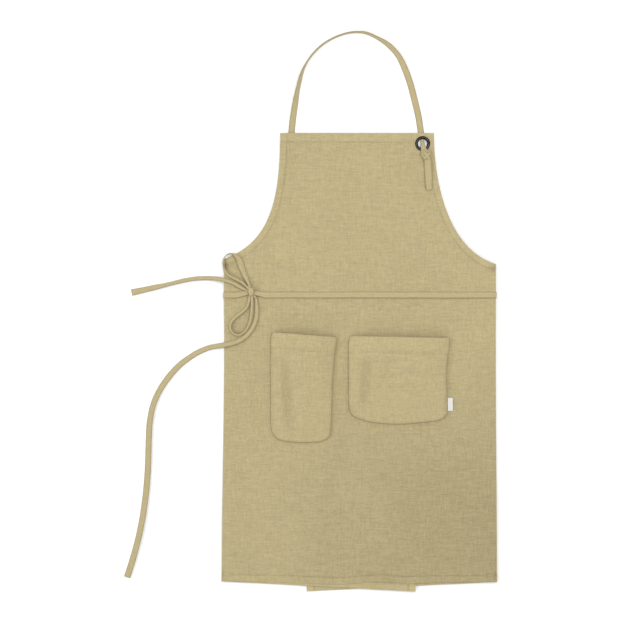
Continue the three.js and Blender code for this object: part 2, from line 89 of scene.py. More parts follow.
STRAP_KNOT = (KNOT_LOW + KNOT_HIGH) / 2
TILT_STRAP = SEWN_HIGH.y + 0.001  # the neck loop bends here, just above the bib's edge

# ---- free tape: routes along its middle, as the CAD part has them
# the neck strap's arch: share of the way across, share of its rise
NECK_SHARES = [
    (0, 0), (0.026, 0.255), (0.054, 0.449), (0.092, 0.622), (0.151, 0.754), (0.235, 0.867),
    (0.34, 0.949), (0.442, 0.992), (0.505, 1), (0.58, 0.989), (0.664, 0.939), (0.748, 0.87),
    (0.826, 0.76), (0.874, 0.638), (0.917, 0.485), (0.953, 0.306), (0.983, 0.14), (1, 0),
]
UPPER_LOOP = [
    (-0.2091, 0.0498), (-0.2136, 0.0595), (-0.2185, 0.07), (-0.2245, 0.085), (-0.2285, 0.097),
    (-0.235, 0.1055), (-0.245, 0.1096), (-0.2543, 0.105), (-0.259, 0.0955), (-0.2576, 0.081),
    (-0.2505, 0.0692), (-0.237, 0.0612), (-0.2245, 0.0548), (-0.2149, 0.0465),
]
LOWER_LOOP = [
    (-0.2093, 0.0286), (-0.2105, 0.0185), (-0.2155, 0.0065), (-0.2258, -0.0029),
    (-0.237, -0.0123), (-0.2448, -0.022), (-0.246, -0.032), (-0.241, -0.0412), (-0.2308, -0.0456),
    (-0.2205, -0.0413), (-0.2125, -0.0316), (-0.2068, -0.016), (-0.2042, 0.0013),
    (-0.2038, 0.015), (-0.204, 0.0286),
]
UPPER_END = [
    (-0.2154, 0.0408), (-0.2215, 0.0438), (-0.2298, 0.0486), (-0.241, 0.0546), (-0.2595, 0.0602),
    (-0.271, 0.062), (-0.284, 0.0631), (-0.2975, 0.0632), (-0.316, 0.0618), (-0.3385, 0.0577),
    (-0.361, 0.0522), (-0.3855, 0.0462), (-0.41, 0.0406), (-0.4326, 0.0354),
]
LOWER_END = [
    (-0.1973, 0.0244), (-0.1962, 0.0155), (-0.1956, 0.0032), (-0.1968, -0.0123),
    (-0.2014, -0.0264), (-0.21, -0.0398), (-0.2196, -0.0492), (-0.2313, -0.0562),
    (-0.245, -0.0608), (-0.26, -0.0637), (-0.272, -0.0656), (-0.2855, -0.0684), (-0.2995, -0.074),
    (-0.3142, -0.0816), (-0.3413, -0.1012), (-0.3623, -0.124), (-0.3805, -0.151), (-0.392, -0.178),
    (-0.3979, -0.206), (-0.4002, -0.236), (-0.401, -0.266), (-0.402, -0.298), (-0.4046, -0.334),
    (-0.4091, -0.372), (-0.4152, -0.408), (-0.4227, -0.441), (-0.4318, -0.474), (-0.4414, -0.504),
]

# How each free tape lies, by share of its length: its roll from lying flat towards standing on edge in
# degrees, width in metres where it is curled or folded narrower, and height of the ridge along it.
NECK_ROLL = [
    (0, 0), (0.08, 24), (0.18, 56), (0.28, 84), (0.48, 87), (0.57, 76), (0.66, 46), (0.78, 14), (1, 0),
]
UPPER_LOOP_SHAPE = {
    "roll": [(0, 20), (0.1, 10), (0.3, 5), (0.37, 30), (0.43, 80), (0.56, 84), (0.66, 60), (0.8, 40),
             (1, 30)],
    "width": [(0, 0.006), (0.12, 0.0095), (0.25, 0.0125), (0.34, 0.0105), (0.43, 0.0062), (0.6, 0.006),
              (0.8, 0.007), (1, 0.0055)],
    "ridge": [(0, 0.0022), (0.12, 0.0012), (0.3, 0.0008), (0.43, 0.0004), (0.6, 0.0008), (0.75, 0.0018),
              (1, 0.002)],
}
LOWER_LOOP_SHAPE = {
    "roll": [(0, 25), (0.2, 34), (0.45, 52), (0.6, 46), (0.8, 28), (1, 20)],
    "width": [(0, 0.0055), (0.2, 0.0066), (0.5, 0.0062), (0.8, 0.0072), (1, 0.0056)],
    "ridge": [(0, 0.0018), (0.5, 0.0016), (1, 0.0022)],
}
UPPER_END_SHAPE = {
    "roll": [(0, 20), (0.2, 24), (0.5, 30), (0.7, 40), (0.86, 20), (1, 8)],
    "width": [(0, 0.0056), (0.06, 0.0078), (0.3, 0.0086), (0.6, 0.0088), (0.85, 0.011), (1, 0.0122)],
    "ridge": [(0, 0.002), (0.3, 0.0018), (0.6, 0.0014), (0.85, 0.0008), (1, 0.0002)],
}
LOWER_END_SHAPE = {
    "roll": [(0, 10), (0.1, 16), (0.2, 24), (0.32, 14), (0.5, 20), (0.7, 12), (0.88, 20), (1, 8)],
    "width": [(0, 0.0062), (0.04, 0.0086), (0.16, 0.0096), (0.26, 0.0102), (0.4, 0.0118), (1, 0.0122)],
    "ridge": [(0, 0.0024), (0.16, 0.0022), (0.3, 0.0012), (0.5, 0.0006), (1, 0.0003)],
}


# ---- small helpers
UP = Vector((0, 0, 1))


def lerp(a, b, t):
    return a + (b - a) * t


def smooth(low, high, value):
    """0 before low, 1 after high, and a smooth step between them."""
    t = min(1.0, max(0.0, (value - low) / (high - low)))
    return t * t * (3 - 2 * t)


def along(pairs, share):
    """The value at a share, from a short list of (share, value)."""
    for (a, low), (b, high) in zip(pairs, pairs[1:]):
        if share <= b:
            return lerp(low, high, smooth(a, b, share))
    return pairs[-1][1]


def undulation(x, y):
    """The soft unevenness of cloth that was folded and lies on a table. Constants in a noise's place, here
    and below, only pick a pattern."""
    broad = noise.noise(Vector((x * 8.5, y * 6.5, 0.37)))
    streaks = noise.noise(Vector((x * 26, y * 9, 4.2)))
    creases = noise.noise(Vector((x * 60 + y * 18, y * 40, 7.9)))
    return 0.0017 * (0.8 + broad) + 0.0006 * (1 + streaks) + 0.00016 * (1 + creases)


def settle(x, y):
    """How far the stack sinks: away from the ties that run under it, more at the bib, which has no wings
    behind it, and more at the left, where only one wing lies under the front."""
    away = smooth(0.012, 0.07, abs(y - WAIST_Y))
    bib = smooth(0.1, 0.17, y)
    thin_side = smooth(-0.09, -0.17, x) if x < -0.09 else 0.0
    return -0.0013 * away - 0.0012 * bib - 0.0012 * thin_side * away * (1 - bib)


LIE_AT_LABEL = -0.0004  # the label's hinge is at the CAD model's level, so the cloth keeps near it


def lie(x, y):
    """How far cloth, and what is on it, lies from its level in the CAD model."""
    near = 1 - smooth(EYELET_R * 1.1, EYELET_R * 2.4, math.hypot(x - EYELET.x, y - EYELET.y))
    here = undulation(x, y) + settle(x, y)
    at_eyelet = undulation(EYELET.x, EYELET.y) + settle(EYELET.x, EYELET.y)
    by_label = 1 - smooth(0.012, 0.05, math.hypot(x - LABEL_LOW.x, y - LABEL_MIDDLE_Y))
    return lerp(lerp(here, at_eyelet, near), LIE_AT_LABEL, by_label)


FLARE_FROM_Y = -0.05


def flare(x, y):
    """The sides spread a little towards the hem, the left one more."""
    spread = 0.0045 if x < 0 else 0.0025
    return spread * (x / PANEL_HIGH.x) * smooth(FLARE_FROM_Y, HEM_Y, y) if y < FLARE_FROM_Y else 0.0


def curve_through(points, step):
    """Evenly spaced points on a centripetal Catmull-Rom curve through the given ones."""
    points = [Vector(p).to_3d() for p in points]
    ends = [points[0] * 2 - points[1]] + points + [points[-1] * 2 - points[-2]]
    fine = []
    for p0, p1, p2, p3 in zip(ends, ends[1:], ends[2:], ends[3:]):
        t1 = max((p1 - p0).length, 1e-9) ** 0.5
        t2 = t1 + max((p2 - p1).length, 1e-9) ** 0.5
        t3 = t2 + max((p3 - p2).length, 1e-9) ** 0.5
        for k in range(12):
            t = lerp(t1, t2, k / 12)
            a1 = p0 * ((t1 - t) / t1) + p1 * (t / t1)
            a2 = p1 * ((t2 - t) / (t2 - t1)) + p2 * ((t - t1) / (t2 - t1))
            a3 = p2 * ((t3 - t) / (t3 - t2)) + p3 * ((t - t2) / (t3 - t2))
            b1 = a1 * ((t2 - t) / t2) + a2 * (t / t2)
            b2 = a2 * ((t3 - t) / (t3 - t1)) + a3 * ((t - t1) / (t3 - t1))
            fine.append(b1 * ((t2 - t) / (t2 - t1)) + b2 * ((t - t1) / (t2 - t1)))
    fine.append(points[-1])
    return evenly(fine, step)


def evenly(points, step):
    """The same line with its points one step apart."""
    lengths = [0.0]
    for a, b in zip(points, points[1:]):
        lengths.append(lengths[-1] + (b - a).length)
    count = max(2, round(lengths[-1] / step))
    spaced, k = [], 0
    for i in range(count + 1):
        target = lengths[-1] * i / count
        while k < len(points) - 2 and lengths[k + 1] < target:
            k += 1
        run = max(lengths[k + 1] - lengths[k], 1e-12)
        spaced.append(points[k].lerp(points[k + 1], min(1.0, (target - lengths[k]) / run)))
    return spaced


def length_of(points):
    return sum((b - a).length for a, b in zip(points, points[1:]))


def tangent_at(points, i):
    """The direction of a line at one of its points."""
    return (points[min(i + 1, len(points) - 1)] - points[max(i - 1, 0)]).normalized()


def flat_axes(points, i):
    """The direction of a line at a point, the flat direction across it, and the one over it."""
    tangent = tangent_at(points, i)
    side = tangent.cross(UP).normalized()
    return tangent, side, side.cross(tangent).normalized()


def ring_angles(count):
    return [2 * math.pi * i / count for i in range(count)]


def grid_faces(rows, width, rows_close=False, width_closes=False, flipped=False):
    """Four-sided faces between neighbouring rows of points. Either way round can close on itself."""
    faces = []
    for j in range(rows if rows_close else rows - 1):
        for i in range(width if width_closes else width - 1):
            a, b = j * width + i, j * width + (i + 1) % width
            over = (j + 1) % rows * width
            c, d = over + (i + 1) % width, over + i
            faces.append((a, d, c, b) if flipped else (a, b, c, d))
    return faces


def end_caps(rows, width):
    """The two faces that close a tube of rows."""
    return [tuple(range(width))[::-1], tuple(range((rows - 1) * width, rows * width))]


def bezier(p0, p1, p2, p3, count):
    """Points on a flat cubic curve."""
    points = []
    for i in range(count + 1):
        t = i / count
        s = 1 - t
        points.append(p0 * s ** 3 + p1 * 3 * s * s * t + p2 * 3 * s * t * t + p3 * t ** 3)
    return points


def new_piece(name, verts, faces, material, uvs=None, shade_smooth=True, painted_shading=None):
    """A mesh object. uvs, where given, hold one place in metres for each vertex, and the changes of tone,
    where given, one change of tone for each vertex, which is painted light and shade."""
    mesh = bpy.data.meshes.new(name)
    mesh.from_pydata([tuple(v) for v in verts], [], faces)
    if uvs:
        layer = mesh.uv_layers.new(name="tape")
        for loop in mesh.loops:
            layer.data[loop.index].uv = uvs[loop.vertex_index]
    if painted_shading:
        mesh.attributes.new("tone", "FLOAT", "POINT").data.foreach_set("value", painted_shading)
    mesh.validate()
    mesh.polygons.foreach_set("use_smooth", [shade_smooth] * len(mesh.polygons))
    mesh.materials.append(material)
    piece = bpy.data.objects.new(name, mesh)
    bpy.context.collection.objects.link(piece)
    return piece


def settled(piece):
    """Applies a piece's modifiers to its mesh."""
    graph = bpy.context.evaluated_depsgraph_get()
    mesh = bpy.data.meshes.new_from_object(piece.evaluated_get(graph))
    piece.modifiers.clear()
    piece.data = mesh
    return piece


def thickened(piece, thickness, thin_share, weights):
    """Gives a skin its thickness: full where the weight is 1, and thin_share of it where it is 0."""
    group = piece.vertex_groups.new(name="thick")
    for index, weight in enumerate(weights):
        group.add([index], weight, "REPLACE")
    solid = piece.modifiers.new("thickness", "SOLIDIFY")
    solid.thickness = thickness
    solid.offset = 0
    solid.vertex_group = "thick"
    solid.thickness_vertex_group = thin_share
    return settled(piece)


# ---- camera
FRAME_WIDTH = 1.1774  # what the picture takes in across the apron's front
VIEW_CENTRE = Vector((-0.0928, 0.0005, 0.0))


def add_camera():
    data = bpy.data.cameras.new("camera")
    data.sensor_width = 36
    data.lens = 85
    camera = bpy.data.objects.new("camera", data)
    distance = FRAME_WIDTH * data.lens / data.sensor_width
    camera.location = VIEW_CENTRE + Vector((0, 0, distance + PANEL_HIGH.z))
    bpy.context.collection.objects.link(camera)
    bpy.context.scene.camera = camera


add_camera()


# ---- materials
def node_tools(name):
    """A new material with its shader and short ways to add and join nodes."""
    material = bpy.data.materials.new(name)
    material.use_nodes = True
    tree = material.node_tree
    shader = tree.nodes["Principled BSDF"]

    def add(kind, inputs=None, **settings):
        node = tree.nodes.new(kind)
        for key, value in settings.items():
            setattr(node, key, value)
        for key, value in (inputs or {}).items():
            if isinstance(value, bpy.types.NodeSocket):
                tree.links.new(value, node.inputs[key])
            else:
                node.inputs[key].default_value = value
        return node

    def join(output, socket):
        tree.links.new(output, socket)

    return material, shader, add, join


def object_place(add):
    return add("ShaderNodeTexCoord").outputs["Object"]


def noise_of(add, place, scale, detail=2.0, roughness=0.5):
    """Noise stretched by a scale along each axis."""
    mapping = add("ShaderNodeMapping", {"Vector": place, "Scale": scale})
    node = add("ShaderNodeTexNoise", {"Vector": mapping.outputs[0], "Scale": 1.0, "Detail": detail,
                                      "Roughness": roughness})
    return node.outputs["Fac"]


def maths(add, operation, a, b=0.0, c=0.0):
    return add("ShaderNodeMath", {0: a, 1: b, 2: c}, operation=operation).outputs[0]


def bumped(add, join, shader, height, strength, distance):
    """Gives a shader its fine relief."""
    bump = add("ShaderNodeBump", {"Height": height, "Strength": strength, "Distance": distance})
    join(bump.outputs[0], shader.inputs["Normal"])


def coloured(add, join, shader, colour, tone):
    """Gives a shader a colour, made lighter or darker by a tone."""
    tinted = add("ShaderNodeVectorMath", {0: colour, "Scale": tone}, operation="SCALE")
    join(tinted.outputs[0], shader.inputs["Base Color"])


def centred(add, value, amount):
    """A 0 to 1 value as a change of plus or minus half the amount."""
    return maths(add, "MULTIPLY_ADD", value, amount, -amount / 2)


def yarns(add, place, pitch):
    """Height of a plain weave: warp and weft pass over and under each other."""
    split = add("ShaderNodeSeparateXYZ", {0: place})
    wobble = centred(add, noise_of(add, place, (90, 90, 90)), 0.9 * pitch)
    across = maths(add, "ADD", split.outputs[0], wobble)
    down = maths(add, "ADD", split.outputs[1], wobble)
    turn = math.pi / pitch
    wave_x, wave_y = (maths(add, "SINE", maths(add, "MULTIPLY", way, turn)) for way in (across, down))
    over = maths(add, "MULTIPLY", wave_x, wave_y)
    ribs = maths(add, "MULTIPLY", maths(add, "ABSOLUTE", wave_x), maths(add, "ABSOLUTE", wave_y))
    return maths(add, "MULTIPLY_ADD", over, 0.35, ribs)


def linen(name, colour, place_from="object", pitch=0.0009, mottle=0.14, streak=0.50):
    """Washed linen: plain weave with slubs both ways, soft mottling and a matt, slightly fuzzy face. A
    vertex's own tone holds painted light and shade: hems painted paler, and seams, creases, tape edges and
    the lower right painted darker."""
    material, shader, add, join = node_tools(name)
    if place_from == "object":
        place = object_place(add)
    else:
        place = add("ShaderNodeUVMap", uv_map=place_from).outputs["UV"]
    weft = noise_of(add, place, (75, 560, 75), 3.0, 0.6)
    warp = noise_of(add, place, (560, 60, 60), 3.0, 0.6)
    coarse_weft = noise_of(add, place, (22, 260, 22), 2.0)
    coarse_warp = noise_of(add, place, (240, 18, 18), 2.0)
    clouds = noise_of(add, place, (7, 5, 7), 3.0)
    grain = noise_of(add, place, (340, 340, 340), 2.0, 0.7)
    weave = yarns(add, place, pitch)
    tone = centred(add, weft, streak)
    for part, amount in ((warp, streak * 0.8), (coarse_weft, streak * 0.3), (coarse_warp, streak * 0.16),
                         (clouds, mottle), (grain, 0.36)):
        tone = maths(add, "ADD", tone, centred(add, part, amount))
    tone = maths(add, "ADD", tone, maths(add, "MULTIPLY_ADD", weave, 0.12, -0.05))
    # the tone attribute holds painted light and shade, added here to the cloth's tone
    sewn = add("ShaderNodeAttribute", attribute_name="tone").outputs["Fac"]
    tone = maths(add, "ADD", tone, maths(add, "ADD", sewn, 1.0))
    warmth = noise_of(add, place, (16, 480, 16), 2.0)
    pale = tuple(min(1.0, part * gain) for part, gain in zip(colour, (1.03, 1.04, 1.12)))
    deep = tuple(part * gain for part, gain in zip(colour, (0.97, 0.96, 0.88)))
    # the colour sockets of a Mix node are its inputs 6 and 7 and its output 2
    mix = add("ShaderNodeMix", {"Factor": warmth, 6: (*deep, 1), 7: (*pale, 1)}, data_type="RGBA")
    coloured(add, join, shader, mix.outputs[2], tone)
    height = maths(add, "ADD", weave, centred(add, weft, 1.2))
    height = maths(add, "ADD", height, centred(add, warp, 1.0))
    bumped(add, join, shader, height, 0.55, 0.0003)
    fuzz = maths(add, "MULTIPLY_ADD", weft, 0.12, 0.8)
    join(fuzz, shader.inputs["Roughness"])
    shader.inputs["Specular IOR Level"].default_value = 0.22
    shader.inputs["Sheen Weight"].default_value = 0.12
    shader.inputs["Sheen Roughness"].default_value = 0.6
    return material


def gunmetal(name):
    """Dark plated brass, polished, with rubbed places."""
    material, shader, add, join = node_tools(name)
    place = object_place(add)
    worn = noise_of(add, place, (300, 300, 300), 3.0)
    ramp = add("ShaderNodeValToRGB", {"Fac": worn})
    ramp.color_ramp.elements[0].position = 0.35
    ramp.color_ramp.elements[0].color = (0.010, 0.0098, 0.0102, 1)
    ramp.color_ramp.elements[1].position = 0.75
    ramp.color_ramp.elements[1].color = (0.042, 0.041, 0.041, 1)
    join(ramp.outputs[0], shader.inputs["Base Color"])
    scratches = noise_of(add, place, (2500, 500, 900), 2.0)
    join(maths(add, "MULTIPLY_ADD", scratches, 0.1, 0.07), shader.inputs["Roughness"])
    bumped(add, join, shader, scratches, 0.15, 0.00004)
    shader.inputs["Metallic"].default_value = 1.0
    return material


def woven_tag(name):
    """Fine white taffeta, woven in narrow ribs."""
    material, shader, add, join = node_tools(name)
    place = object_place(add)
    weave = yarns(add, place, 0.00035)
    cloudy = noise_of(add, place, (160, 90, 90), 2.0)
    tone = maths(add, "MULTIPLY_ADD", weave, 0.06, 0.93)
    tone = maths(add, "ADD", tone, centred(add, cloudy, 0.06))
    coloured(add, join, shader, (0.66, 0.65, 0.62), tone)
    bumped(add, join, shader, weave, 0.5, 0.0001)
    shader.inputs["Roughness"].default_value = 0.7
    return material


def sewing_thread(name):
    """Twisted cotton thread in the cloth's own colour."""
    material, shader, add, join = node_tools(name)
    place = object_place(add)
    twist = noise_of(add, place, (2600, 2600, 2600), 1.0)
    fade = noise_of(add, place, (40, 40, 40), 2.0)
    tone = maths(add, "ADD", centred(add, twist, 0.3), centred(add, fade, 0.12))
    coloured(add, join, shader, (0.37, 0.31, 0.175), maths(add, "ADD", tone, 1.0))
    bumped(add, join, shader, twist, 0.6, 0.00008)
    shader.inputs["Roughness"].default_value = 0.65
    return material


LINEN = (0.411, 0.342, 0.182)
cloth_material = linen("linen_cloth", LINEN)
pocket_material = linen("linen_pocket", tuple(part * 1.03 for part in LINEN), mottle=0.05)
tape_material = linen("linen_tape", LINEN, "tape", 0.0008, 0.08, 0.3)
thread_material = sewing_thread("sewing_thread")
metal_material = gunmetal("gunmetal")
label_material = woven_tag("woven_tag")


# ---- tape
# Half of the tape's section, in shares of its half width and half thickness: a soft crown, a dip
# where it is sewn along each edge, and round sides.
TAPE_TOP = [
    (0.985, 0.5), (0.94, 0.9), (0.86, 1.04), (0.79, 0.84), (0.71, 1.0), (0.4, 1.08), (0, 1.02),
    (-0.4, 1.08), (-0.71, 1.0), (-0.79, 0.84), (-0.86, 1.04), (-0.94, 0.9), (-0.985, 0.5),
]
# painted shade along a tape's edges, as a change of its tone
TAPE_EDGE_PAINTED_SHADE = 0.34
TAPE_SECTION = [(1, 0)] + TAPE_TOP + [(-1, 0)] + [(u, -v) for u, v in reversed(TAPE_TOP)]


def swept(name, frames, material, closed=False):
    """Tape through frames of (centre, side, normal, half width, half thickness, ridge)."""
    verts, uvs, painted_shading = [], [], []
    run = 0.0
    for i, (centre, side, normal, half_width, half_thick, ridge) in enumerate(frames):
        if i:
            run += (centre - frames[i - 1][0]).length
        for u, v in TAPE_SECTION:
            cup = ridge * (0.4 - u * u)
            verts.append(centre + side * (u * half_width) + normal * (v * half_thick + cup))
            # the underside has its own stretch of the weave, beside the top's
            uvs.append((run, u * half_width + (0 if v >= 0 else 3.3 * half_width)))
            # painted light and shade: the tape a little paler across its middle and darker towards its edges
            painted_shading.append(0.05 - TAPE_EDGE_PAINTED_SHADE * smooth(0.66, 0.98, abs(u)))
    faces = grid_faces(len(frames), len(TAPE_SECTION), closed, True)
    if not closed:
        faces += end_caps(len(frames), len(TAPE_SECTION))
    return new_piece(name, verts, faces, material, uvs, painted_shading=painted_shading)


def rolled_frames(middle, shape, thick=TAPE, base=None, restless=0.0):
    """Frames for tape along a route on the table or the cloth. It is lifted so that its lowest edge
    touches what is under it."""
    frames = []
    last = len(middle) - 1
    for i, point in enumerate(middle):
        share = i / last
        tangent, side, normal = flat_axes(middle, i)
        wobble = noise.noise(Vector((point.x * 30, point.y * 30, 3.1)))
        angle = math.radians(along(shape["roll"], share) + restless * wobble)
        turn = Matrix.Rotation(angle, 3, tangent)
        half = along(shape["width"], share) / 2
        ridge = along(shape["ridge"], share)
        ends = 0.6 if i in (0, last) else 1.0
        lift = half * abs(math.sin(angle)) + (thick / 2 + 0.6 * ridge) * abs(math.cos(angle))
        height = (base(point) if base else point.z) + lift
        centre = Vector((point.x, point.y, height))
        frames.append((centre, turn @ side, turn @ normal, half, thick / 2 * ends, ridge))
    return frames


def ground(point):
    """What a loose tape lies on: the apron's front, and the table beyond its side."""
    on_cloth = smooth(-0.286, -0.262, point.x)
    cloth_top = FRONT_Z + lie(max(point.x, -SIDE_X), point.y)
    return lerp(0.0002, cloth_top, on_cloth)


def ends_ground(point):
    return ground(point) + 0.0001


def loops_ground(point):
    """The bow's loops pass over the tie ends beside the knot."""
    near_knot = 1 - smooth(0.02, 0.045, math.hypot(point.x - BOW.x, point.y - BOW.y))
    return ground(point) + 0.0003 + 0.0014 * near_knot


def cord_tape(name, body, route, shape, base, width, far_end, node):
    """A free length of tape along its own middle line. Gives back its frames at the knot."""
    frames = rolled_frames(curve_through(route, 0.0022), shape, base=base, restless=6.0)
    piece = swept(name, frames, tape_material)
    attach(piece, body)
    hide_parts(node)
    return [frames[0], frames[-1]] if far_end == "object" else [frames[0]]


LOOP_CURLED = 0.009  # the lower loop's tape is curled to this width along its length
knot_mouths = []
for cord in (
    ("bow_loop_upper", "upper_loop", UPPER_LOOP, UPPER_LOOP_SHAPE, loops_ground, TAPE_WIDTH,
     "object", "upper_bow_loop"),
    ("bow_loop_lower", "lower_loop", LOWER_LOOP, LOWER_LOOP_SHAPE, loops_ground, LOOP_CURLED,
     "object", "lower_bow_loop"),
    ("tie_end_upper", "upper_end", UPPER_END, UPPER_END_SHAPE, ends_ground, TAPE_WIDTH,
     "bare", "upper_tie_end"),
    ("tie_end_lower", "lower_end", LOWER_END, LOWER_END_SHAPE, ends_ground, TAPE_WIDTH,
     "bare", "lower_tie_end"),
):
    knot_mouths += cord_tape(*cord)


# ---- neck strap
STRAP_LEFT_X = (SEWN_LOW.x + SEWN_HIGH.x) / 2
STRAP_RIGHT_X = 0.1152
NECK_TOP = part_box("neck_strap_loop")[1][1]
EYELET_LIE = lie(EYELET.x, EYELET.y)


def neck_strap():
    """One tape: sewn behind the bib, round the arch, and up through the eyelet to its knot."""
    feet_y = TILT_STRAP + 0.001
    rise = NECK_TOP - feet_y - 0.0022
    span = STRAP_RIGHT_X - STRAP_LEFT_X
    arch = [(STRAP_LEFT_X + s * span, feet_y + up * rise, 0.0001) for s, up in NECK_SHARES]
    sewn = [(STRAP_LEFT_X, SEWN_LOW.y + 0.0005, 0.0001), (STRAP_LEFT_X, SEWN_LOW.y + 0.02, 0.0001)]
    middle = curve_through(sewn + arch, 0.003)
    feet = (feet_y - SEWN_LOW.y) / length_of(middle)
    shape = {
        "roll": [(0, 0), (feet, 0)] + [(lerp(feet, 1, s), degrees) for s, degrees in NECK_ROLL[1:]],
        "width": [(0, TAPE_WIDTH), (1, TAPE_WIDTH)],
        "ridge": [(0, 0), (feet, 0), (lerp(feet, 1, 0.3), 0.0005), (1, 0)],
    }
    frames = rolled_frames(middle, shape)
    # behind the bib's edge and up through the eyelet, over its lower rim
    over = EYELET_HIGH.z + EYELET_LIE + TAPE / 2 + 0.0002
    through = [
        frames[-1][0], (STRAP_RIGHT_X + 0.0012, EYELET.y + 0.015, 0.0010),
        (EYELET.x - 0.0008, EYELET.y + 0.008, 0.0013),
        (EYELET.x - 0.0002, EYELET.y + 0.0035, 0.0022), (EYELET.x + 0.0002, EYELET.y - 0.001, 0.0046),
        (EYELET.x + 0.0008, EYELET.y - 0.0066, over - 0.0004), (EYELET.x + 0.0022, EYELET.y - 0.0115, over),
        (STRAP_KNOT.x - 0.0022, KNOT_HIGH.y - 0.003, over + 0.0008),
        (STRAP_KNOT.x - 0.0012, STRAP_KNOT.y + 0.002, over + 0.0006),
    ]
    widths = [(0, 1.0), (0.25, 0.8), (0.42, 0.62), (0.62, 0.66), (0.76, 0.92), (0.88, 1.42), (1, 1.15)]
    ridges = [(0, 0.0002), (0.4, 0.0006), (0.7, 0.0012), (0.88, 0.0030), (1, 0.002)]
    inner = curve_through(through, 0.0012)[1:]
    last = len(inner) - 1
    for i, point in enumerate(inner):
        _, side, normal = flat_axes(inner, i)
        half = TAPE_WIDTH / 2 * along(widths, i / last)
        frames.append((point, side, normal, half, TAPE * 0.62, along(ridges, i / last)))
    return swept("neck_strap", frames, tape_material), [f[0] for f in frames]


strap, strap_path = neck_strap()
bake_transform(strap)
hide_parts("neck_strap_loop", "neck_strap_sewn_end", "neck_strap_threaded_end")


# ---- knots
def band(centre, reach, height, heading, width, thick, lean):
    """Frames of a squarish turn of tape round a knot. heading is the way it goes across the top, in
    degrees, and lean how far it slants."""
    across = Vector((math.cos(math.radians(heading)), math.sin(math.radians(heading)), 0))
    axis = across.cross(UP)
    power = 2 / 2.6
    frames = []
    for angle in ring_angles(40):
        c, s = math.cos(angle), math.sin(angle)
        a = math.copysign(abs(c) ** power, c) * reach
        b = math.copysign(abs(s) ** power, s) * height
        normal = (across * (c / reach) + UP * (s / height)).normalized()
        pinch = 1 - 0.12 * c * c
        slant = axis * (lean * c * reach)
        frames.append((centre + across * a + Vector((0, 0, b)) + slant, axis, normal,
                       width / 2 * pinch, thick / 2, 0.0012))
    return frames


CRUMPLE = 0.0006  # depth of the folds in a knot's gathered tape


def puff(name, centre, radii, heading, taper=0.0):
    """The gathered tape inside a knot: a soft lump with folds that run across it, narrower below."""
    verts = []
    rings, around = 18, 30
    turn = Matrix.Rotation(math.radians(heading), 3, "Z")
    for j in range(rings + 1):
        polar = math.pi * j / rings
        for angle in ring_angles(around):
            unit = Vector((math.sin(polar) * math.cos(angle), math.cos(polar),
                           math.sin(polar) * math.sin(angle)))
            squared = Vector([math.copysign(abs(part) ** 0.8, part) for part in unit])
            point = Vector([part * size for part, size in zip(squared, radii)])
            point.x *= 1 + taper * point.y / radii[1]
            fold = math.sin(point.x * 1500 + 2.0 * noise.noise(point * 180)) * CRUMPLE
            point += unit * (fold + CRUMPLE * noise.noise(point * 260 + centre * 40))
            verts.append(centre + turn @ point)
    faces = grid_faces(rings + 1, around, width_closes=True, flipped=True)
    uvs = [(v.x, v.y) for v in verts]
    # the gathered core is painted a little darker, as painted shade inside the knot
    return new_piece(name, verts, faces, tape_material, uvs, painted_shading=[-0.06] * len(verts))


def joined(name, pieces):
    """One object from several."""
    bpy.ops.object.select_all(action="DESELECT")
    for piece in pieces:
        piece.select_set(True)
    bpy.context.view_layer.objects.active = pieces[0]
    bpy.ops.object.join()
    pieces[0].name = name
    return pieces[0]


def turn_of_tape(name, centre, heading, reach, height, width, lean):
    """One turn of tape round a knot."""
    return swept(name, band(centre, reach, height, heading, width, TAPE, lean), tape_material, True)


def knot_stub(centre, mouth):
    """The short stretch of a loop or end that stays still, from inside the knot to its hinge."""
    place, side, normal, half_width, half_thick, ridge = mouth
    inner = Vector((centre.x, centre.y, place.z))
    outer = place - (place - inner).normalized() * 0.0001
    middle = evenly([inner, outer], 0.0012)
    if (outer - inner).cross(UP).dot(side) < 0:
        side = -side
    frames = [(point, side, normal, half_width * 1.03, half_thick * 1.05, ridge) for point in middle]
    return swept("bow_stub", frames, tape_material)


def bow_knot():
    """One turn of tape over the gathered ends and loops, with the stubs of all four."""
    centre = Vector((BOW.x, BOW.y, FRONT_Z + lie(BOW.x, BOW.y) + 0.0042))
    return joined("waist_bow_knot", [
        puff("bow_core", centre, (0.0060, 0.0070, 0.0036), 10),
        turn_of_tape("bow_wrap", centre, 104, 0.0066, 0.0046, 0.0112, 0.12),
        *[knot_stub(centre, mouth) for mouth in knot_mouths],
    ])


def strap_knot():
    """The strap gathers below the eyelet, and two turns of tape cross over it."""
    centre = Vector((STRAP_KNOT.x, STRAP_KNOT.y + 0.002, FRONT_Z + EYELET_LIE + 0.0040))
    crossing = centre + Vector((0.0018, -0.0022, 0.0002))
    return joined("strap_knot", [
        puff("strap_core", centre, (0.0082, 0.0100, 0.0034), 14, 0.36),
        turn_of_tape("strap_first", crossing, -50, 0.0088, 0.0050, 0.0060, 0.1),
        turn_of_tape("strap_second", crossing, 40, 0.0078, 0.0056, 0.0056, -0.1),
    ])


waist_knot = bow_knot()
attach(waist_knot, "apron")
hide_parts("bow_knot")
neck_knot = strap_knot()
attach(neck_knot, "apron")
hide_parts("neck_strap_knot")


TAIL_STEP = 0.0012


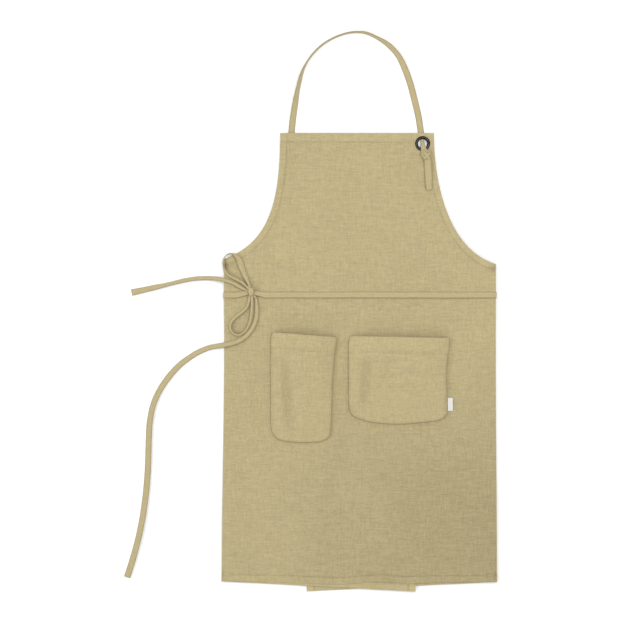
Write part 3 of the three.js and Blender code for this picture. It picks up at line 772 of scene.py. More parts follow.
def strap_tail():
    """The short end below the knot: the tape doubled back on itself, with round corners."""
    top = Vector((STRAP_KNOT.x + 0.0032, KNOT_LOW.y + 0.005, 0))
    foot = Vector(((TAIL_LOW.x + TAIL_HIGH.x) / 2 + 0.0026, TAIL_LOW.y - 0.0012, 0))
    middle = evenly([top, foot], TAIL_STEP)
    last = len(middle) - 1
    widths = [(0, 0.0125), (0.14, 0.0142), (0.55, 0.0148), (1, 0.0132)]
    tangent, side, _ = flat_axes([top, foot], 0)
    frames = []
    for i, point in enumerate(middle):
        share = i / last
        rise = 0.0030 * (1 - smooth(0, 0.35, share)) + 0.0007 * math.sin(4.2 * share)
        z = FRONT_Z + lie(point.x, point.y) + TAPE * 2.0 + rise
        tilt = Matrix.Rotation(math.radians(9 * math.sin(5 * share)), 3, tangent)
        from_end = (last - i) * TAIL_STEP
        corner = 1 - 0.34 * (1 - smooth(0, 0.0042, from_end))
        edge = 1 - 0.5 * (1 - smooth(0, 0.0016, from_end))
        frames.append((Vector((point.x, point.y, z)), tilt @ side, tilt @ UP,
                       along(widths, share) / 2 * corner, TAPE * 0.8 * edge, 0.0015))
    return swept("strap_tail", frames, tape_material)


tail = strap_tail()
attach(tail, "strap_tail")
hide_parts("neck_strap_tail")


# ---- waist ties on the apron
def tie_path(side, fold_x, back_x, front_x, back_z, front_z):
    """Where a tie runs: under the apron, round its side in a half circle, and over the front."""
    middle_z = (back_z + front_z) / 2
    radius = (front_z - back_z) / 2
    path = [Vector((lerp(back_x, fold_x, i / 60), 0, back_z)) for i in range(60)]
    for i in range(11):
        angle = -math.pi / 2 + math.pi * i / 10
        path.append(Vector((fold_x + side * radius * math.cos(angle), 0,
                            middle_z + radius * math.sin(angle))))
    count = max(8, round(abs(front_x - fold_x) / 0.005))
    path += [Vector((lerp(fold_x, front_x, (i + 1) / count), 0, front_z)) for i in range(count)]
    return path


def within_sides(x):
    return min(max(x, -SIDE_X), SIDE_X)


def waist_tie(name, side, box_low, box_high, back_x, front_x):
    """A tie whose width lies along Y. Near the knot it gathers and rises into it."""
    radius = (box_high.z - box_low.z - TAPE) / 2
    fold_x = side * (max(abs(box_low.x), abs(box_high.x)) - radius - TAPE / 2)
    path = tie_path(side, fold_x, back_x, front_x, box_low.z + TAPE / 2, box_high.z - TAPE / 2)
    frames = []
    for i, point in enumerate(path):
        normal = tangent_at(path, i).cross(Vector((0, 1, 0))) * -side
        to_knot = abs(point.x - BOW.x) if point.z > PANEL_Z else 1.0
        gather = 1 - smooth(0.005, 0.03, to_knot)
        y = WAIST_Y + 0.0006 * noise.noise(Vector((point.x * 14, 1.7, 0))) + 0.004 * gather
        z = point.z + lie(within_sides(point.x), WAIST_Y) + 0.0016 * gather
        half = TAPE_WIDTH / 2 * (1 - 0.22 * gather)
        on_front = smooth(PANEL_Z, box_high.z, point.z)
        stand = 0.0015 * on_front * (1 + 0.5 * noise.noise(Vector((point.x * 22, 8.1, 0))))
        tilted = Vector((0, half, -stand)).normalized()
        z += 0.5 * stand
        frames.append((Vector((point.x, y, z)), tilted, normal, half, TAPE * lerp(0.5, 0.62, on_front),
                       0.0004 * on_front))
    return swept(name, frames, tape_material)


INTO_KNOT = 0.003  # a tie on the front runs this far into the knot
SEWN_IN = 0.005  # a tie's hidden end is this far from its wing's free edge
long_tie = waist_tie("waist_tie_from_left", 1, LONG_TIE_LOW, LONG_TIE_HIGH,
                     RIGHT_WING_LOW.x + SEWN_IN, BOW_HIGH.x - INTO_KNOT)
short_tie = waist_tie("waist_tie_from_right", -1, SHORT_TIE_LOW, SHORT_TIE_HIGH,
                      LEFT_WING_HIGH.x - SEWN_IN, BOW_LOW.x + INTO_KNOT)
for piece, node in ((long_tie, "waist_tie_long"), (short_tie, "waist_tie_short")):
    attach(piece, "apron")
    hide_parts(node)


# ---- the apron's cloth
LEFT_FOLD_X = -(SIDE_X - (PANEL_HIGH.z - LEFT_WING_LOW.z) / 2)
RIGHT_FOLD_X = SIDE_X - (PANEL_HIGH.z - RIGHT_WING_LOW.z) / 2
# the four control points of each armhole's curve, from the bib's top down to the side fold
LEFT_ARMHOLE = [Vector(p) for p in (
    (-0.151, 0.3375), (-0.151, 0.2175), (-0.16695, 0.132), (LEFT_FOLD_X, 0.0995))]
RIGHT_ARMHOLE = [Vector(p) for p in (
    (0.14, 0.3375), (0.14, 0.2325), (0.17175, 0.116), (RIGHT_FOLD_X, 0.09))]
TOP_HEM, ARM_HEM, FOOT_HEM, WING_HEM, MOUTH_HEM = 0.018, 0.013, 0.014, 0.014, 0.031
SEAM_INSET = 0.0008  # a hem's stitches are this far inside its depth
# how low the front's hem hangs below its corners, by share of the width
HEM_DIP = [(0, -0.001), (0.2, 0.001), (0.42, 0.0045), (0.58, -0.0005), (0.68, 0.0028), (0.8, 0.001), (1, 0)]
HEM_PAINTED_LIGHT, SEAM_PAINTED_SHADE = 0.035, 0.13  # changes of the cloth's tone: painted light on hems, painted shade along their stitches
HOLE_R = 0.0098  # the hole that is cut for the eyelet
HOLE_POINTS = 40
GRID = 0.0052  # distance between the cloth's points, away from its hems
EDGE_CLEAR = 0.0026  # and how far they stay from its outline
CELL = 0.004  # for finding the points near a place
LEFT_TOP_Y, RIGHT_TOP_Y = LEFT_ARMHOLE[3].y, RIGHT_ARMHOLE[3].y
WING_CORNER_Y = 0.038
WING_FOOT_Y = LEFT_WING_LOW.y


def hem_y(x):
    return HEM_Y - along(HEM_DIP, (x - LEFT_FOLD_X) / (RIGHT_FOLD_X - LEFT_FOLD_X))


def band_steps(depth):
    """Distances from a hemmed edge at which the cloth needs points."""
    return [0, 0.0007, 0.35 * depth, 0.7 * depth, depth - 0.0016, depth - 0.0007, depth + 0.0001,
            depth + 0.0014, depth + 0.004]


def spaced_rows(low, high, low_hem, high_hem):
    """Places between two hemmed edges, closer together over the hems."""
    start = [low + d for d in band_steps(low_hem)] if low_hem else [low]
    end = [high - d for d in reversed(band_steps(high_hem))] if high_hem else [high]
    count = max(1, round((end[0] - start[-1]) / GRID))
    between = [lerp(start[-1], end[0], (i + 1) / count) for i in range(count - 1)]
    return start + between + end


def inward(points, flip):
    """A polyline's points with their normals into the cloth. flip is 1 where the cloth is to the left of
    the way it runs, and -1 where it is to the right."""
    found = []
    for i, point in enumerate(points):
        run = tangent_at(points, i)
        found.append((point, Vector((-run.y, run.x)) * flip))
    return found


def tree_of(points):
    tree = kdtree.KDTree(len(points))
    for i, point in enumerate(points):
        tree.insert((point.x, point.y, 0), i)
    tree.balance()
    return tree


def distance(tree, point):
    return tree.find((point.x, point.y, 0))[2]


def hem_weight(d, depth, full=1.0):
    """How thick the cloth is at a distance from a hemmed edge: turned under, dented by its stitches."""
    turned = full * (1 - smooth(depth - 0.0004, depth + 0.0012, d))
    dent = 0.75 * math.exp(-((d - depth + SEAM_INSET) / 0.0007) ** 2)
    rounded = 0.5 * (1 - smooth(0, 0.0007, d))
    return max(0.0, turned * (1 - dent) - rounded * full)


def hem_painted_shading(d, depth):
    """Painted light and shade: cloth that is turned under is painted a little paler, as painted light on the
    raised hem, and the line of its stitches darker, as painted shade in its dent.
    """
    turned = HEM_PAINTED_LIGHT * (1 - smooth(depth - 0.0016, depth, d))
    return turned - SEAM_PAINTED_SHADE * math.exp(-((d - depth + SEAM_INSET) / 0.0013) ** 2)


def painted_shade_lower_right(x, y):
    """Painted shade: the cloth is painted a little deeper in tone towards the lower right, where the
    photograph is darker.
    """
    return -0.15 * smooth(-0.24, 0.25, x) * smooth(-0.04, -0.42, y)


def pucker(d, depth, run, share=1.0):
    """Small gathers along a row of stitches."""
    near = math.exp(-((d - depth + 0.001) / 0.006) ** 2)
    return share * 0.0006 * near * noise.noise(Vector((run * 95, depth * 300, 5.5)))


def inset_fill(outline, hemmed, holes=(), step=GRID):
    """Points and triangles that fill an outline. hemmed is a list of (points with normals, depth)."""
    dense = []
    for a, b in zip(outline, outline[1:] + outline[:1]):
        cuts = max(1, int((b - a).length / 0.001))
        dense += [a.lerp(b, i / cuts) for i in range(cuts)]
    edge_tree = tree_of(dense)
    hem_trees = [(tree_of([p for p, _ in line]), depth) for line, depth in hemmed]
    taken = {}
    kept = []

    def free(point, reach):
        column, row = int(point.x // CELL), int(point.y // CELL)
        return all((other - point).length >= reach
                   for i in (-1, 0, 1) for j in (-1, 0, 1)
                   for other in taken.get((column + i, row + j), ()))

    def take(point):
        taken.setdefault((int(point.x // CELL), int(point.y // CELL)), []).append(point)
        kept.append(point)

    for point in outline:
        take(point)
    for line, depth in hemmed:
        for d in band_steps(depth)[1:]:
            for point, normal in line:
                spot = point + normal * d
                if distance(edge_tree, spot) > d - 0.00025 and free(spot, 0.0006):
                    take(spot)
    xs = [p.x for p in outline]
    ys = [p.y for p in outline]
    columns = round((max(xs) - min(xs)) / step)
    rows = round((max(ys) - min(ys)) / step)
    for j in range(1, rows):
        for i in range(1, columns):
            spot = Vector((lerp(min(xs), max(xs), i / columns), lerp(min(ys), max(ys), j / rows)))
            if distance(edge_tree, spot) < EDGE_CLEAR:
                continue
            if any(distance(tree, spot) < depth + 0.0056 for tree, depth in hem_trees):
                continue
            if free(spot, 0.0024) and all((spot - c).length > r + 0.003 for c, r in holes):
                take(spot)
    count = len(outline)
    edges = [(i, (i + 1) % count) for i in range(count)]
    for centre, radius in holes:
        kept = [p for p in kept if (p - centre).length > radius + 0.0012]
        first = len(kept)
        kept += [centre + Vector((math.cos(a), math.sin(a))) * radius for a in ring_angles(HOLE_POINTS)]
        edges += [(first + i, first + (i + 1) % HOLE_POINTS) for i in range(HOLE_POINTS)]
    points, _, faces, *_ = geometry.delaunay_2d_cdt(kept, edges, [], 1, 1e-7)

    def inside(face):
        middle = sum((Vector(points[i]) for i in face), Vector((0, 0))) / len(face)
        return all((middle - c).length > r for c, r in holes)

    return [Vector(p) for p in points], [tuple(f) for f in faces if inside(f)]


left_rows = spaced_rows(HEM_Y, LEFT_TOP_Y, FOOT_HEM, WING_HEM)
right_rows = spaced_rows(HEM_Y, RIGHT_TOP_Y, FOOT_HEM, WING_HEM)


def side_points(fold_x, rows):
    """A side of the front, from its hem up to the armhole."""
    low, high = hem_y(fold_x), rows[-1]
    return [Vector((fold_x, lerp(low, high, (y - rows[0]) / (rows[-1] - rows[0])))) for y in rows]


def flat_step(points, step):
    return [p.to_2d() for p in evenly([q.to_3d() for q in points], step)]


left_side = side_points(LEFT_FOLD_X, left_rows)
right_side = side_points(RIGHT_FOLD_X, right_rows)
left_arm = flat_step(bezier(*LEFT_ARMHOLE, 60), 0.0042)
right_arm = flat_step(bezier(*RIGHT_ARMHOLE, 60), 0.0042)
hem_count = round((RIGHT_FOLD_X - LEFT_FOLD_X) / GRID)
hem_xs = [lerp(LEFT_FOLD_X, RIGHT_FOLD_X, i / hem_count) for i in range(hem_count + 1)]
hem_line = [Vector((x, hem_y(x))) for x in hem_xs]
top_line = flat_step([left_arm[0], right_arm[0]], 0.0045)


def front_cloth():
    """The front as one sheet, hemmed along its foot, armholes and top."""
    outline = hem_line + right_side[1:] + right_arm[::-1][1:] + top_line[::-1][1:]
    outline += left_arm[1:] + left_side[::-1][1:-1]
    hemmed = [
        (inward(hem_line, 1), FOOT_HEM), (inward(right_arm, -1), ARM_HEM),
        (inward(top_line, -1), TOP_HEM), (inward(left_arm, 1), ARM_HEM),
    ]
    holes = [(EYELET.to_2d(), HOLE_R)]
    points, faces = inset_fill(outline, hemmed, holes)
    trees = [(tree_of([p for p, _ in line]), depth) for line, depth in hemmed]
    verts, weights, painted_shading = [], [], []
    for point in points:
        near = [(distance(tree, point), depth) for tree, depth in trees]
        foot, right, top, left = near
        weight = max([hem_weight(*foot)] + [hem_weight(*edge, 0.7) for edge in (right, top, left)])
        gathers = pucker(*foot, point.x) + pucker(*top, point.x)
        gathers += pucker(*left, point.y + point.x) + pucker(*right, point.y - point.x)
        verts.append(Vector((point.x, point.y, PANEL_Z + lie(point.x, point.y) + gathers)))
        weights.append(weight)
        # painted light and shade: hems paler, stitch lines darker, and darker towards the lower right
        painted_shading.append(sum(hem_painted_shading(d, depth) for d, depth in near) + painted_shade_lower_right(point.x, point.y))
    return verts, faces, weights, painted_shading


def wing_cloth(fold_x, rows, wing_z, free_x):
    """A wing and its half circle into the front, as rows of points."""
    side = -1 if fold_x < 0 else 1
    radius = (PANEL_Z - wing_z) / 2
    arc = 8
    inner = spaced_rows(0, abs(free_x - fold_x), None, WING_HEM)
    columns = []
    for i in range(arc + 1):
        angle = math.pi / 2 - math.pi * i / arc
        columns.append((fold_x + side * radius * math.cos(angle),
                        wing_z + radius + radius * math.sin(angle), 0.0))
    columns += [(fold_x - side * d, wing_z, d) for d in inner[1:]]
    reach = inner[-1]
    verts, weights, painted_shading = [], [], []
    for row in rows:
        up = (row - rows[0]) / (rows[-1] - rows[0])
        for x, z, d in columns:
            low = lerp(hem_y(fold_x), WING_FOOT_Y, d / reach)
            high = lerp(rows[-1], WING_CORNER_Y, d / reach)
            y = lerp(low, high, up)
            from_foot, from_top, from_free = y - low, high - y, reach - d
            weight = max(hem_weight(from_foot, FOOT_HEM), hem_weight(from_top, WING_HEM),
                         hem_weight(from_free, WING_HEM) if d > 0 else 0)
            gathers = pucker(from_foot, FOOT_HEM, x + 2) + pucker(from_free, WING_HEM, y + 3)
            verts.append(Vector((x, y, z + lie(within_sides(x), y) + gathers)))
            weights.append(weight)
            # painted light and shade: the whole wing a little paler, and its free edge's paler hem and
            # darker stitch line twice as strong
            painted_shading.append(hem_painted_shading(from_foot, FOOT_HEM) + 2 * hem_painted_shading(from_free, WING_HEM) + HEM_PAINTED_LIGHT)
    faces = grid_faces(len(rows), len(columns))
    if side < 0:
        faces = [face[::-1] for face in faces]
    return verts, faces, weights, painted_shading


HEM_THICK, CLOTH_SHARE = 0.0018, 0.34  # a hem's thickness, and a single layer's share of it


def apron_cloth():
    """Front and wings as one piece of cloth, sewn up with its hems."""
    parts = [
        front_cloth(),
        wing_cloth(LEFT_FOLD_X, left_rows, LEFT_WING_Z, LEFT_WING_HIGH.x),
        wing_cloth(RIGHT_FOLD_X, right_rows, RIGHT_WING_Z, RIGHT_WING_LOW.x),
    ]
    verts, faces, weights, painted_shading = [], [], [], []
    found = {}
    for part_verts, part_faces, part_weights, part_painted_shading in parts:
        index = []
        for vert, weight, tone in zip(part_verts, part_weights, part_painted_shading):
            key = (round(vert.x, 5), round(vert.y, 5), round(vert.z, 5))
            if key not in found:
                found[key] = len(verts)
                verts.append(vert + Vector((flare(vert.x, vert.y), 0, 0)))
                weights.append(weight)
                painted_shading.append(tone)
            index.append(found[key])
        faces += [tuple(index[i] for i in face) for face in part_faces]
    piece = new_piece("apron_cloth", verts, faces, cloth_material, painted_shading=painted_shading)
    return thickened(piece, HEM_THICK, CLOTH_SHARE, weights)


cloth = apron_cloth()
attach(cloth, "apron")
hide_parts("front_panel", "left_wing", "right_wing")


# ---- facings
def facing(name, node, outer, depth):
    """A strip turned to the back along an edge, with its inner edge sewn down, and open where the
    eyelet's barrel passes through."""
    low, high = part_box(node)
    z = (low[2] + high[2]) / 2
    verts = []
    steps = [0.0004, 0.3 * depth, 0.7 * depth, depth - 0.0012, depth]
    for point, normal in outer:
        for k, d in enumerate(steps):
            spot = point + normal * d
            edge = 0.0003 if k in (0, len(steps) - 1) else 0.0
            verts.append(Vector((spot.x, spot.y, z + lie(spot.x, spot.y) + edge)))
    clear = [(vert.to_2d() - EYELET.to_2d()).length > HOLE_R for vert in verts]
    faces = [face for face in grid_faces(len(outer), len(steps)) if all(clear[i] for i in face)]
    piece = new_piece(name, verts, faces, cloth_material)
    thickened(piece, CLOTH, 1.0, [1.0] * len(verts))
    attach(piece, "apron")
    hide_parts(node)


def armhole_run(arm, flip):
    """An armhole's points, without the last stretch, which its facing leaves free."""
    run = inward(arm, flip)
    return run[:round(len(run) * 0.9)]


top_run = [(p, n) for p, n in inward(top_line, -1) if -0.1375 < p.x < 0.1265]
facing("facing_top", "bib_top_facing", top_run, TOP_HEM)
facing("facing_left_armhole", "left_armhole_facing", armhole_run(left_arm, 1), ARM_HEM)
facing("facing_right_armhole", "right_armhole_facing", armhole_run(right_arm, -1), ARM_HEM)


# ---- pockets
class Pocket:
    """A patch pocket: its outline from mouth corner round the foot, and how it stands open."""

    def __init__(self, name, node, sides, creases, gape, seed):
        self.name, self.node, self.seed, self.creases, self.gape = name, node, seed, creases, gape
        self.sewn = flat_step([p.to_2d() for p in curve_through(sides, 0.002)], 0.0026)
        mouth_left, mouth_right = self.sewn[0], self.sewn[-1]
        mouth_middle = (mouth_right + mouth_left) / 2 + Vector((0, 0.0004))
        self.mouth = flat_step([mouth_right, mouth_middle, mouth_left], 0.004)
        self.low = min(p.y for p in self.sewn)
        self.sewn_tree = tree_of(self.sewn)
        self.mouth_tree = tree_of(self.mouth)

    def width_share(self, point):
        """-1 at the left side, 1 at the right side, at a point's own height."""
        near = sorted(self.sewn, key=lambda p: abs(p.y - point.y))[:10]
        left, right = min(p.x for p in near), max(p.x for p in near)
        return max(-1.0, min(1.0, (point.x - (left + right) / 2) / max((right - left) / 2, 0.01)))

    def up_share(self, point):
        """0 at the pocket's foot, 1 at its mouth."""
        return (point.y - self.low) / (self.mouth[0].y - self.low)

    def crease(self, point):
        """How deep the pocket's creases are at a point."""
        up = self.up_share(point)
        span = self.sewn[-1].x - self.sewn[0].x
        total = 0.0
        for x_share, depth, width, low, high, lean in self.creases:
            centre = self.sewn[0].x + span * (x_share + lean * (up - 0.5))
            fade = smooth(low, low + 0.18, up) * (1 - smooth(high - 0.18, high, up))
            total += depth * fade * math.exp(-((point.x - centre) / width) ** 2)
        return total

    def height(self, point):
        """How high the pocket's face stands over the apron."""
        d = distance(self.sewn_tree, point)
        up = self.up_share(point)
        u = self.width_share(point)
        edge = 0.0038 + 0.0020 * math.sin(math.pi / 2 * min(1.0, d / 0.0018))
        to_label = math.hypot(point.x - LABEL_LOW.x, (point.y - LABEL_MIDDLE_Y) * 0.8)
        by_label = 1 - smooth(0.006, 0.016, to_label)
        edge *= 1 - by_label * (1 - smooth(-0.0005, 0.007, d))
        open_share = smooth(0.25, 1.0, up) * (1 - abs(u) ** 5)
        crown = self.gape * open_share + 0.0022 * smooth(0, 0.03, d)
        small = 0.0005 * noise.noise(Vector((point.x * 48 + point.y * 30, point.y * 42, self.seed)))
        small += 0.00022 * noise.noise(Vector((point.x * 120 - point.y * 60, point.y * 110, self.seed + 3)))
        return max(0.0008, edge + crown + (small - self.crease(point)) * smooth(0.001, 0.012, d))


# A pocket's side, ring by ring below its face: how far out of the outline, and how far further down.
POCKET_DROPS = [(0.0005, 0.0012), (-0.0008, 0.0018), (-0.0028, 0.0016), (-0.0044, 0.0012)]


def pocket_piece(pocket):
    """The pocket's face, with its sides turned under down to the seam."""
    outline = pocket.sewn + pocket.mouth[1:-1]
    mouth_line = inward(pocket.mouth, 1)
    sewn_line = inward(pocket.sewn, 1)
    rings = [(sewn_line, 0.0042), (mouth_line, MOUTH_HEM)]
    points, faces = inset_fill(outline, rings, step=0.0042)
    verts, weights, painted_shading = [], [], []
    for point in points:
        d_mouth = distance(pocket.mouth_tree, point)
        z = FRONT_Z + lie(point.x, point.y) + pocket.height(point)
        z += pucker(d_mouth, MOUTH_HEM, point.x, 0.8)
        verts.append(Vector((point.x, point.y, z)))
        weights.append(hem_weight(d_mouth, MOUTH_HEM))
        # painted light and shade: the mouth's hem paler, its stitch line darker, and the creases darker
        painted_shading.append(0.6 * hem_painted_shading(d_mouth, MOUTH_HEM) - CREASE_PAINTED_SHADE * pocket.crease(point))
    # the sides go down and back in, to where they are sewn
    count = len(pocket.sewn)
    previous = [min(range(len(points)), key=lambda i: (points[i] - p).length) for p in pocket.sewn]
    for outward, down in POCKET_DROPS:
        ring = []
        for k, (p, normal) in enumerate(sewn_line):
            spot = p - normal * outward
            z = verts[previous[k]].z - down
            floor = FRONT_Z + lie(spot.x, spot.y) + 0.0001
            ring.append(len(verts))
            verts.append(Vector((spot.x, spot.y, max(z, floor))))
            weights.append(0.0)
            # the turned-down sides are painted darker, as painted shade under the pocket's edge
            painted_shading.append(-0.1)
        for k in range(count - 1):
            faces.append((previous[k], ring[k], ring[k + 1], previous[k + 1]))
        previous = ring
    piece = new_piece(pocket.name, verts, faces, pocket_material, painted_shading=painted_shading)
    thickened(piece, 0.0014, 0.43, weights)  # the mouth's hem, and a single layer's share of it
    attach(piece, "apron")
    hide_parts(pocket.node)


# each pocket's outline, from the left end of its mouth round its foot to the right end
PEN_SIDES = [
    (-0.1650, -0.0399), (-0.1676, -0.052), (-0.1686, -0.09), (-0.1685, -0.15), (-0.1682, -0.2),
    (-0.1676, -0.219), (-0.1636, -0.2325), (-0.1560, -0.2402), (-0.1470, -0.2437), (-0.13, -0.2459),
    (-0.1045, -0.2473), (-0.085, -0.2465), (-0.07, -0.244), (-0.0612, -0.239), (-0.0574, -0.2316),
    (-0.0558, -0.2126), (-0.0539, -0.16), (-0.0511, -0.1108), (-0.0478, -0.075), (-0.0455, -0.058),
    (-0.0449, -0.049),
]
PATCH_SIDES = [
    (-0.0170, -0.0468), (-0.0205, -0.056), (-0.0215, -0.09), (-0.0212, -0.14), (-0.0205, -0.176),
    (-0.0163, -0.1925), (-0.0110, -0.1985), (0.006, -0.2050), (0.0276, -0.2098), (0.05, -0.2120),
    (0.0717, -0.2126), (0.1123, -0.2100), (0.145, -0.2062), (0.1560, -0.2025), (0.1620, -0.1968),
    (0.1644, -0.1856), (0.1637, -0.1604), (0.1622, -0.118), (0.1652, -0.084), (0.1678, -0.062),
    (0.1680, -0.0506),
]
# each crease: share across, depth, width, where it starts and ends up the pocket, lean
PEN_CREASES = [(0.22, 0.0060, 0.0085, 0.04, 0.86, -0.12), (0.13, 0.0030, 0.003, 0.6, 0.95, -0.35),
               (0.42, 0.0016, 0.005, 0.0, 0.35, 0.3)]
PATCH_CREASES = [(0.15, 0.0060, 0.0080, 0.12, 0.84, 0.06), (0.32, 0.0014, 0.010, 0.3, 0.9, 0.2)]
CREASE_PAINTED_SHADE = 17.0  # painted shade in a crease: change of tone for each metre of its depth
pen = Pocket("pocket_pen", "pen_pocket", PEN_SIDES, PEN_CREASES, 0.0095, 11.0)
patch = Pocket("pocket_patch", "patch_pocket", PATCH_SIDES, PATCH_CREASES, 0.0100, 23.0)
pocket_piece(pen)
pocket_piece(patch)


# ---- side label
def side_label():
    """A folded woven tag that comes out of the patch pocket's side seam."""
    root = LABEL_LOW.x - 0.0004
    reach = LABEL_HIGH.x - 0.0004
    half = 0.00032
    profile = [(lerp(root, reach, i / 8), half) for i in range(9)]
    profile += [(reach + half * math.sin(a), half * math.cos(a)) for a in (0.6, 1.2, 1.57, 2.0, 2.6)]
    profile += [(lerp(reach, root, i / 8), -half) for i in range(9)]
    rows = 14
    verts = []
    for j in range(rows + 1):
        y = lerp(LABEL_LOW.y, LABEL_HIGH.y, j / rows)
        edge = 0.72 if j in (0, rows) else 1.0
        for x, z in profile:
            share = (x - root) / (reach - root)
            curl = 0.0011 * share * share + 0.0003 * math.sin(j * 0.45)
            verts.append(Vector((x + 0.0002 * math.sin(j * 0.5), y,
                                 FRONT_Z + lie(x, y) + 0.0009 + curl + z * edge)))
    faces = grid_faces(rows + 1, len(profile), width_closes=True) + end_caps(rows + 1, len(profile))
    piece = new_piece("woven_side_label", verts, faces, label_material)
    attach(piece, "label")
    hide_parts("side_label")


side_label()


# ---- eyelet
LATHE_STEPS = 96
BARREL_R = 0.0087  # inside the eyelet


def lathe(name, profile, node):
    """A ring turned from a closed profile of (radius, height) about the eyelet's axis."""
    verts = []
    for angle in ring_angles(LATHE_STEPS):
        for radius, z in profile:
            verts.append(Vector((EYELET.x + radius * math.cos(angle),
                                 EYELET.y + radius * math.sin(angle), z)))
    faces = grid_faces(LATHE_STEPS, len(profile), True, True, True)
    piece = new_piece(name, verts, faces, metal_material)
    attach(piece, "apron")
    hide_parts(node)


def eyelet_rings():
    """The rolled front ring with its barrel, and the washer behind."""
    front = FRONT_Z - GAP + EYELET_LIE
    crown = EYELET_HIGH.z + EYELET_LIE
    back, washer_top = (corner[2] + EYELET_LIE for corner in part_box("eyelet_back_washer"))
    dome = []
    for i in range(13):
        t = i / 12
        radius = lerp(EYELET_R, BARREL_R + 0.0002, t)
        dome.append((radius, front + 0.0002 + (crown - front) * math.sin(math.pi * (0.06 + 0.9 * t)) ** 0.7))
    # the barrel goes down through the cloth and is rolled over behind the washer
    barrel = [
        (BARREL_R, front), (BARREL_R, back - 0.0004), (BARREL_R + 0.0006, back - 0.0009),
        (BARREL_R + 0.0016, back - 0.0008), (BARREL_R + 0.0022, back - 0.0003),
        (BARREL_R + 0.0010, back - 0.0003), (BARREL_R + 0.0008, front - 0.0001),
        (EYELET_R - 0.0002, front),
    ]
    lathe("eyelet_ring", dome + barrel, "eyelet_front_ring")
    washer = [
        (HOLE_R + 0.0002, back), (EYELET_R - 0.0008, back), (EYELET_R - 0.0001, washer_top - 0.0004),
        (EYELET_R, washer_top), (HOLE_R + 0.0002, washer_top),
    ]
    lathe("eyelet_washer", washer, "eyelet_back_washer")


eyelet_rings()


# ---- stitches
STITCH, STITCH_GAP, THREAD_R = 0.0024, 0.0008, 0.0002
STITCH_RINGS, THREAD_SIDES = 5, 6
STRAP_SEAM_X, STRAP_SEAM_Y = 0.0042, 0.003  # the strap's sewn box, from its middle and from its ends


def stitch_run(line, height, verts, faces, up=1):
    """Adds a row of stitches along a flat line. height gives the surface under a point, and up is -1 for
    a surface seen from behind."""
    spaced = evenly([p.to_3d() for p in line], STITCH + STITCH_GAP)
    share = STITCH / (STITCH + STITCH_GAP)
    for a, b in zip(spaced, spaced[1:]):
        run = (b - a).normalized()
        across = Vector((-run.y, run.x, 0))
        start = len(verts)
        for k in range(STITCH_RINGS):
            t = k / (STITCH_RINGS - 1)
            spot = a.lerp(b, 0.5 + (t - 0.5) * share)
            arch = math.sin(math.pi * t)
            z = height(spot.x, spot.y) + up * (0.00022 * arch - 0.00016)
            radius = THREAD_R * (0.62 + 0.38 * arch)
            for angle in ring_angles(THREAD_SIDES):
                verts.append(Vector((spot.x, spot.y, z)) + across * (radius * math.cos(angle))
                             + Vector((0, 0, radius * math.sin(angle))))
        tube = grid_faces(STITCH_RINGS, THREAD_SIDES, width_closes=True)
        tube += end_caps(STITCH_RINGS, THREAD_SIDES)
        faces += [tuple(start + i for i in face) for face in tube]


def offset_line(line, d, start=0.0, end=1.0):
    """A hem's stitch line: the edge's points between two shares of its length, moved into the cloth."""
    count = len(line)
    return [p + n * d for p, n in line[round(start * count): round(end * count)]]


def front_surface(x, y):
    return PANEL_Z + 0.0006 + lie(x, y)


def facing_surface(x, y):
    return FACING_Z + lie(x, y)


def wing_underside(wing_z):
    return lambda x, y: wing_z - 0.0004 + lie(x, y)


def pocket_surface(pocket):
    return lambda x, y: FRONT_Z + lie(x, y) + pocket.height(Vector((x, y))) + 0.0004


def wing_lines(fold_x, free_x):
    """The stitch lines of a wing: along its foot, free edge and top."""
    side = -1 if fold_x < 0 else 1
    foot = [Vector((fold_x, HEM_Y + FOOT_HEM)), Vector((free_x, WING_FOOT_Y + FOOT_HEM))]
    inner_x = free_x + side * (WING_HEM - SEAM_INSET)
    free = [Vector((inner_x, WING_FOOT_Y)), Vector((inner_x, WING_CORNER_Y))]
    top_y = LEFT_TOP_Y if side < 0 else RIGHT_TOP_Y
    top = [Vector((fold_x, top_y - WING_HEM)), Vector((free_x, WING_CORNER_Y - WING_HEM))]
    return [foot, free, top]


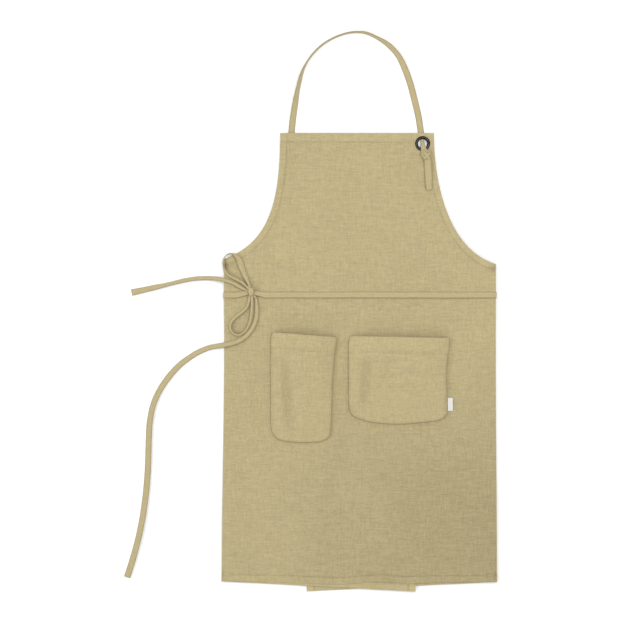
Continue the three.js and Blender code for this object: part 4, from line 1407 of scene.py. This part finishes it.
def all_stitches():
    """Every row of stitches, as one piece."""
    verts, faces = [], []
    front_lines = [
        offset_line(inward(hem_line, 1), FOOT_HEM - SEAM_INSET),
        offset_line(inward(top_line, -1), TOP_HEM - SEAM_INSET, 0.045, 0.955),
        offset_line(inward(left_arm, 1), ARM_HEM - SEAM_INSET, 0.06, 0.95),
        offset_line(inward(right_arm, -1), ARM_HEM - SEAM_INSET, 0.06, 0.95),
    ]
    for line in front_lines:
        clear = [p for p in line if (p - EYELET.to_2d()).length > EYELET_R]
        stitch_run(clear, front_surface, verts, faces)
        if line is not front_lines[0]:
            stitch_run(clear, facing_surface, verts, faces, -1)
    for fold_x, free_x, z in ((LEFT_FOLD_X, LEFT_WING_HIGH.x, LEFT_WING_Z),
                              (RIGHT_FOLD_X, RIGHT_WING_LOW.x, RIGHT_WING_Z)):
        for line in wing_lines(fold_x, free_x):
            stitch_run(line, wing_underside(z), verts, faces, -1)
    for pocket in (pen, patch):
        sewn = offset_line(inward(pocket.sewn, 1), 0.0028, 0.02, 0.98)
        mouth = offset_line(inward(pocket.mouth, 1), MOUTH_HEM - SEAM_INSET, 0.06, 0.94)
        for line in (sewn, mouth):
            stitch_run(line, pocket_surface(pocket), verts, faces)
    left, right = STRAP_LEFT_X - STRAP_SEAM_X, STRAP_LEFT_X + STRAP_SEAM_X
    top, foot = TOP_Y - STRAP_SEAM_Y, SEWN_LOW.y + STRAP_SEAM_Y
    for x in (left, right):
        stitch_run([Vector((x, top)), Vector((x, foot))], front_surface, verts, faces)
    for y in (top, foot):
        stitch_run([Vector((left, y)), Vector((right, y))], front_surface, verts, faces)
    piece = new_piece("stitches", verts, faces, thread_material)
    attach(piece, "apron")


all_stitches()


# ---- floor and light
def plain_floor():
    """A pale table, much larger than the view."""
    half = 6.0  # metres
    verts = [(-half, -half, 0), (half, -half, 0), (half, half, 0), (-half, half, 0)]
    material, shader, *_ = node_tools("pale_floor")
    shader.inputs["Base Color"].default_value = (0.9, 0.9, 0.895, 1)
    shader.inputs["Roughness"].default_value = 0.9
    shader.inputs["Specular IOR Level"].default_value = 0.1
    new_piece("floor", verts, [(0, 1, 2, 3)], material, shade_smooth=False)


def area_light(name, place, size, power):
    """A round lamp that points at the apron's middle."""
    data = bpy.data.lights.new(name, "AREA")
    data.shape = "DISK"
    data.size = size
    data.energy = power
    lamp = bpy.data.objects.new(name, data)
    lamp.location = place
    lamp.rotation_euler = (-Vector(place)).to_track_quat("-Z", "Y").to_euler()
    bpy.context.collection.objects.link(lamp)


def studio():
    """Even white light from all around, a lamp nearly overhead and a weaker one from the left."""
    world = bpy.data.worlds.new("studio")
    world.use_nodes = True
    world.node_tree.nodes["Background"].inputs[0].default_value = (1, 1, 1, 1)
    world.node_tree.nodes["Background"].inputs[1].default_value = 0.79
    bpy.context.scene.world = world
    area_light("key", (0.35, 0.6, 2.2), 1.0, 23)
    area_light("fill", (-2.0, -0.5, 1.7), 1.6, 17)
    bpy.context.scene.view_settings.view_transform = "Standard"


plain_floor()
studio()
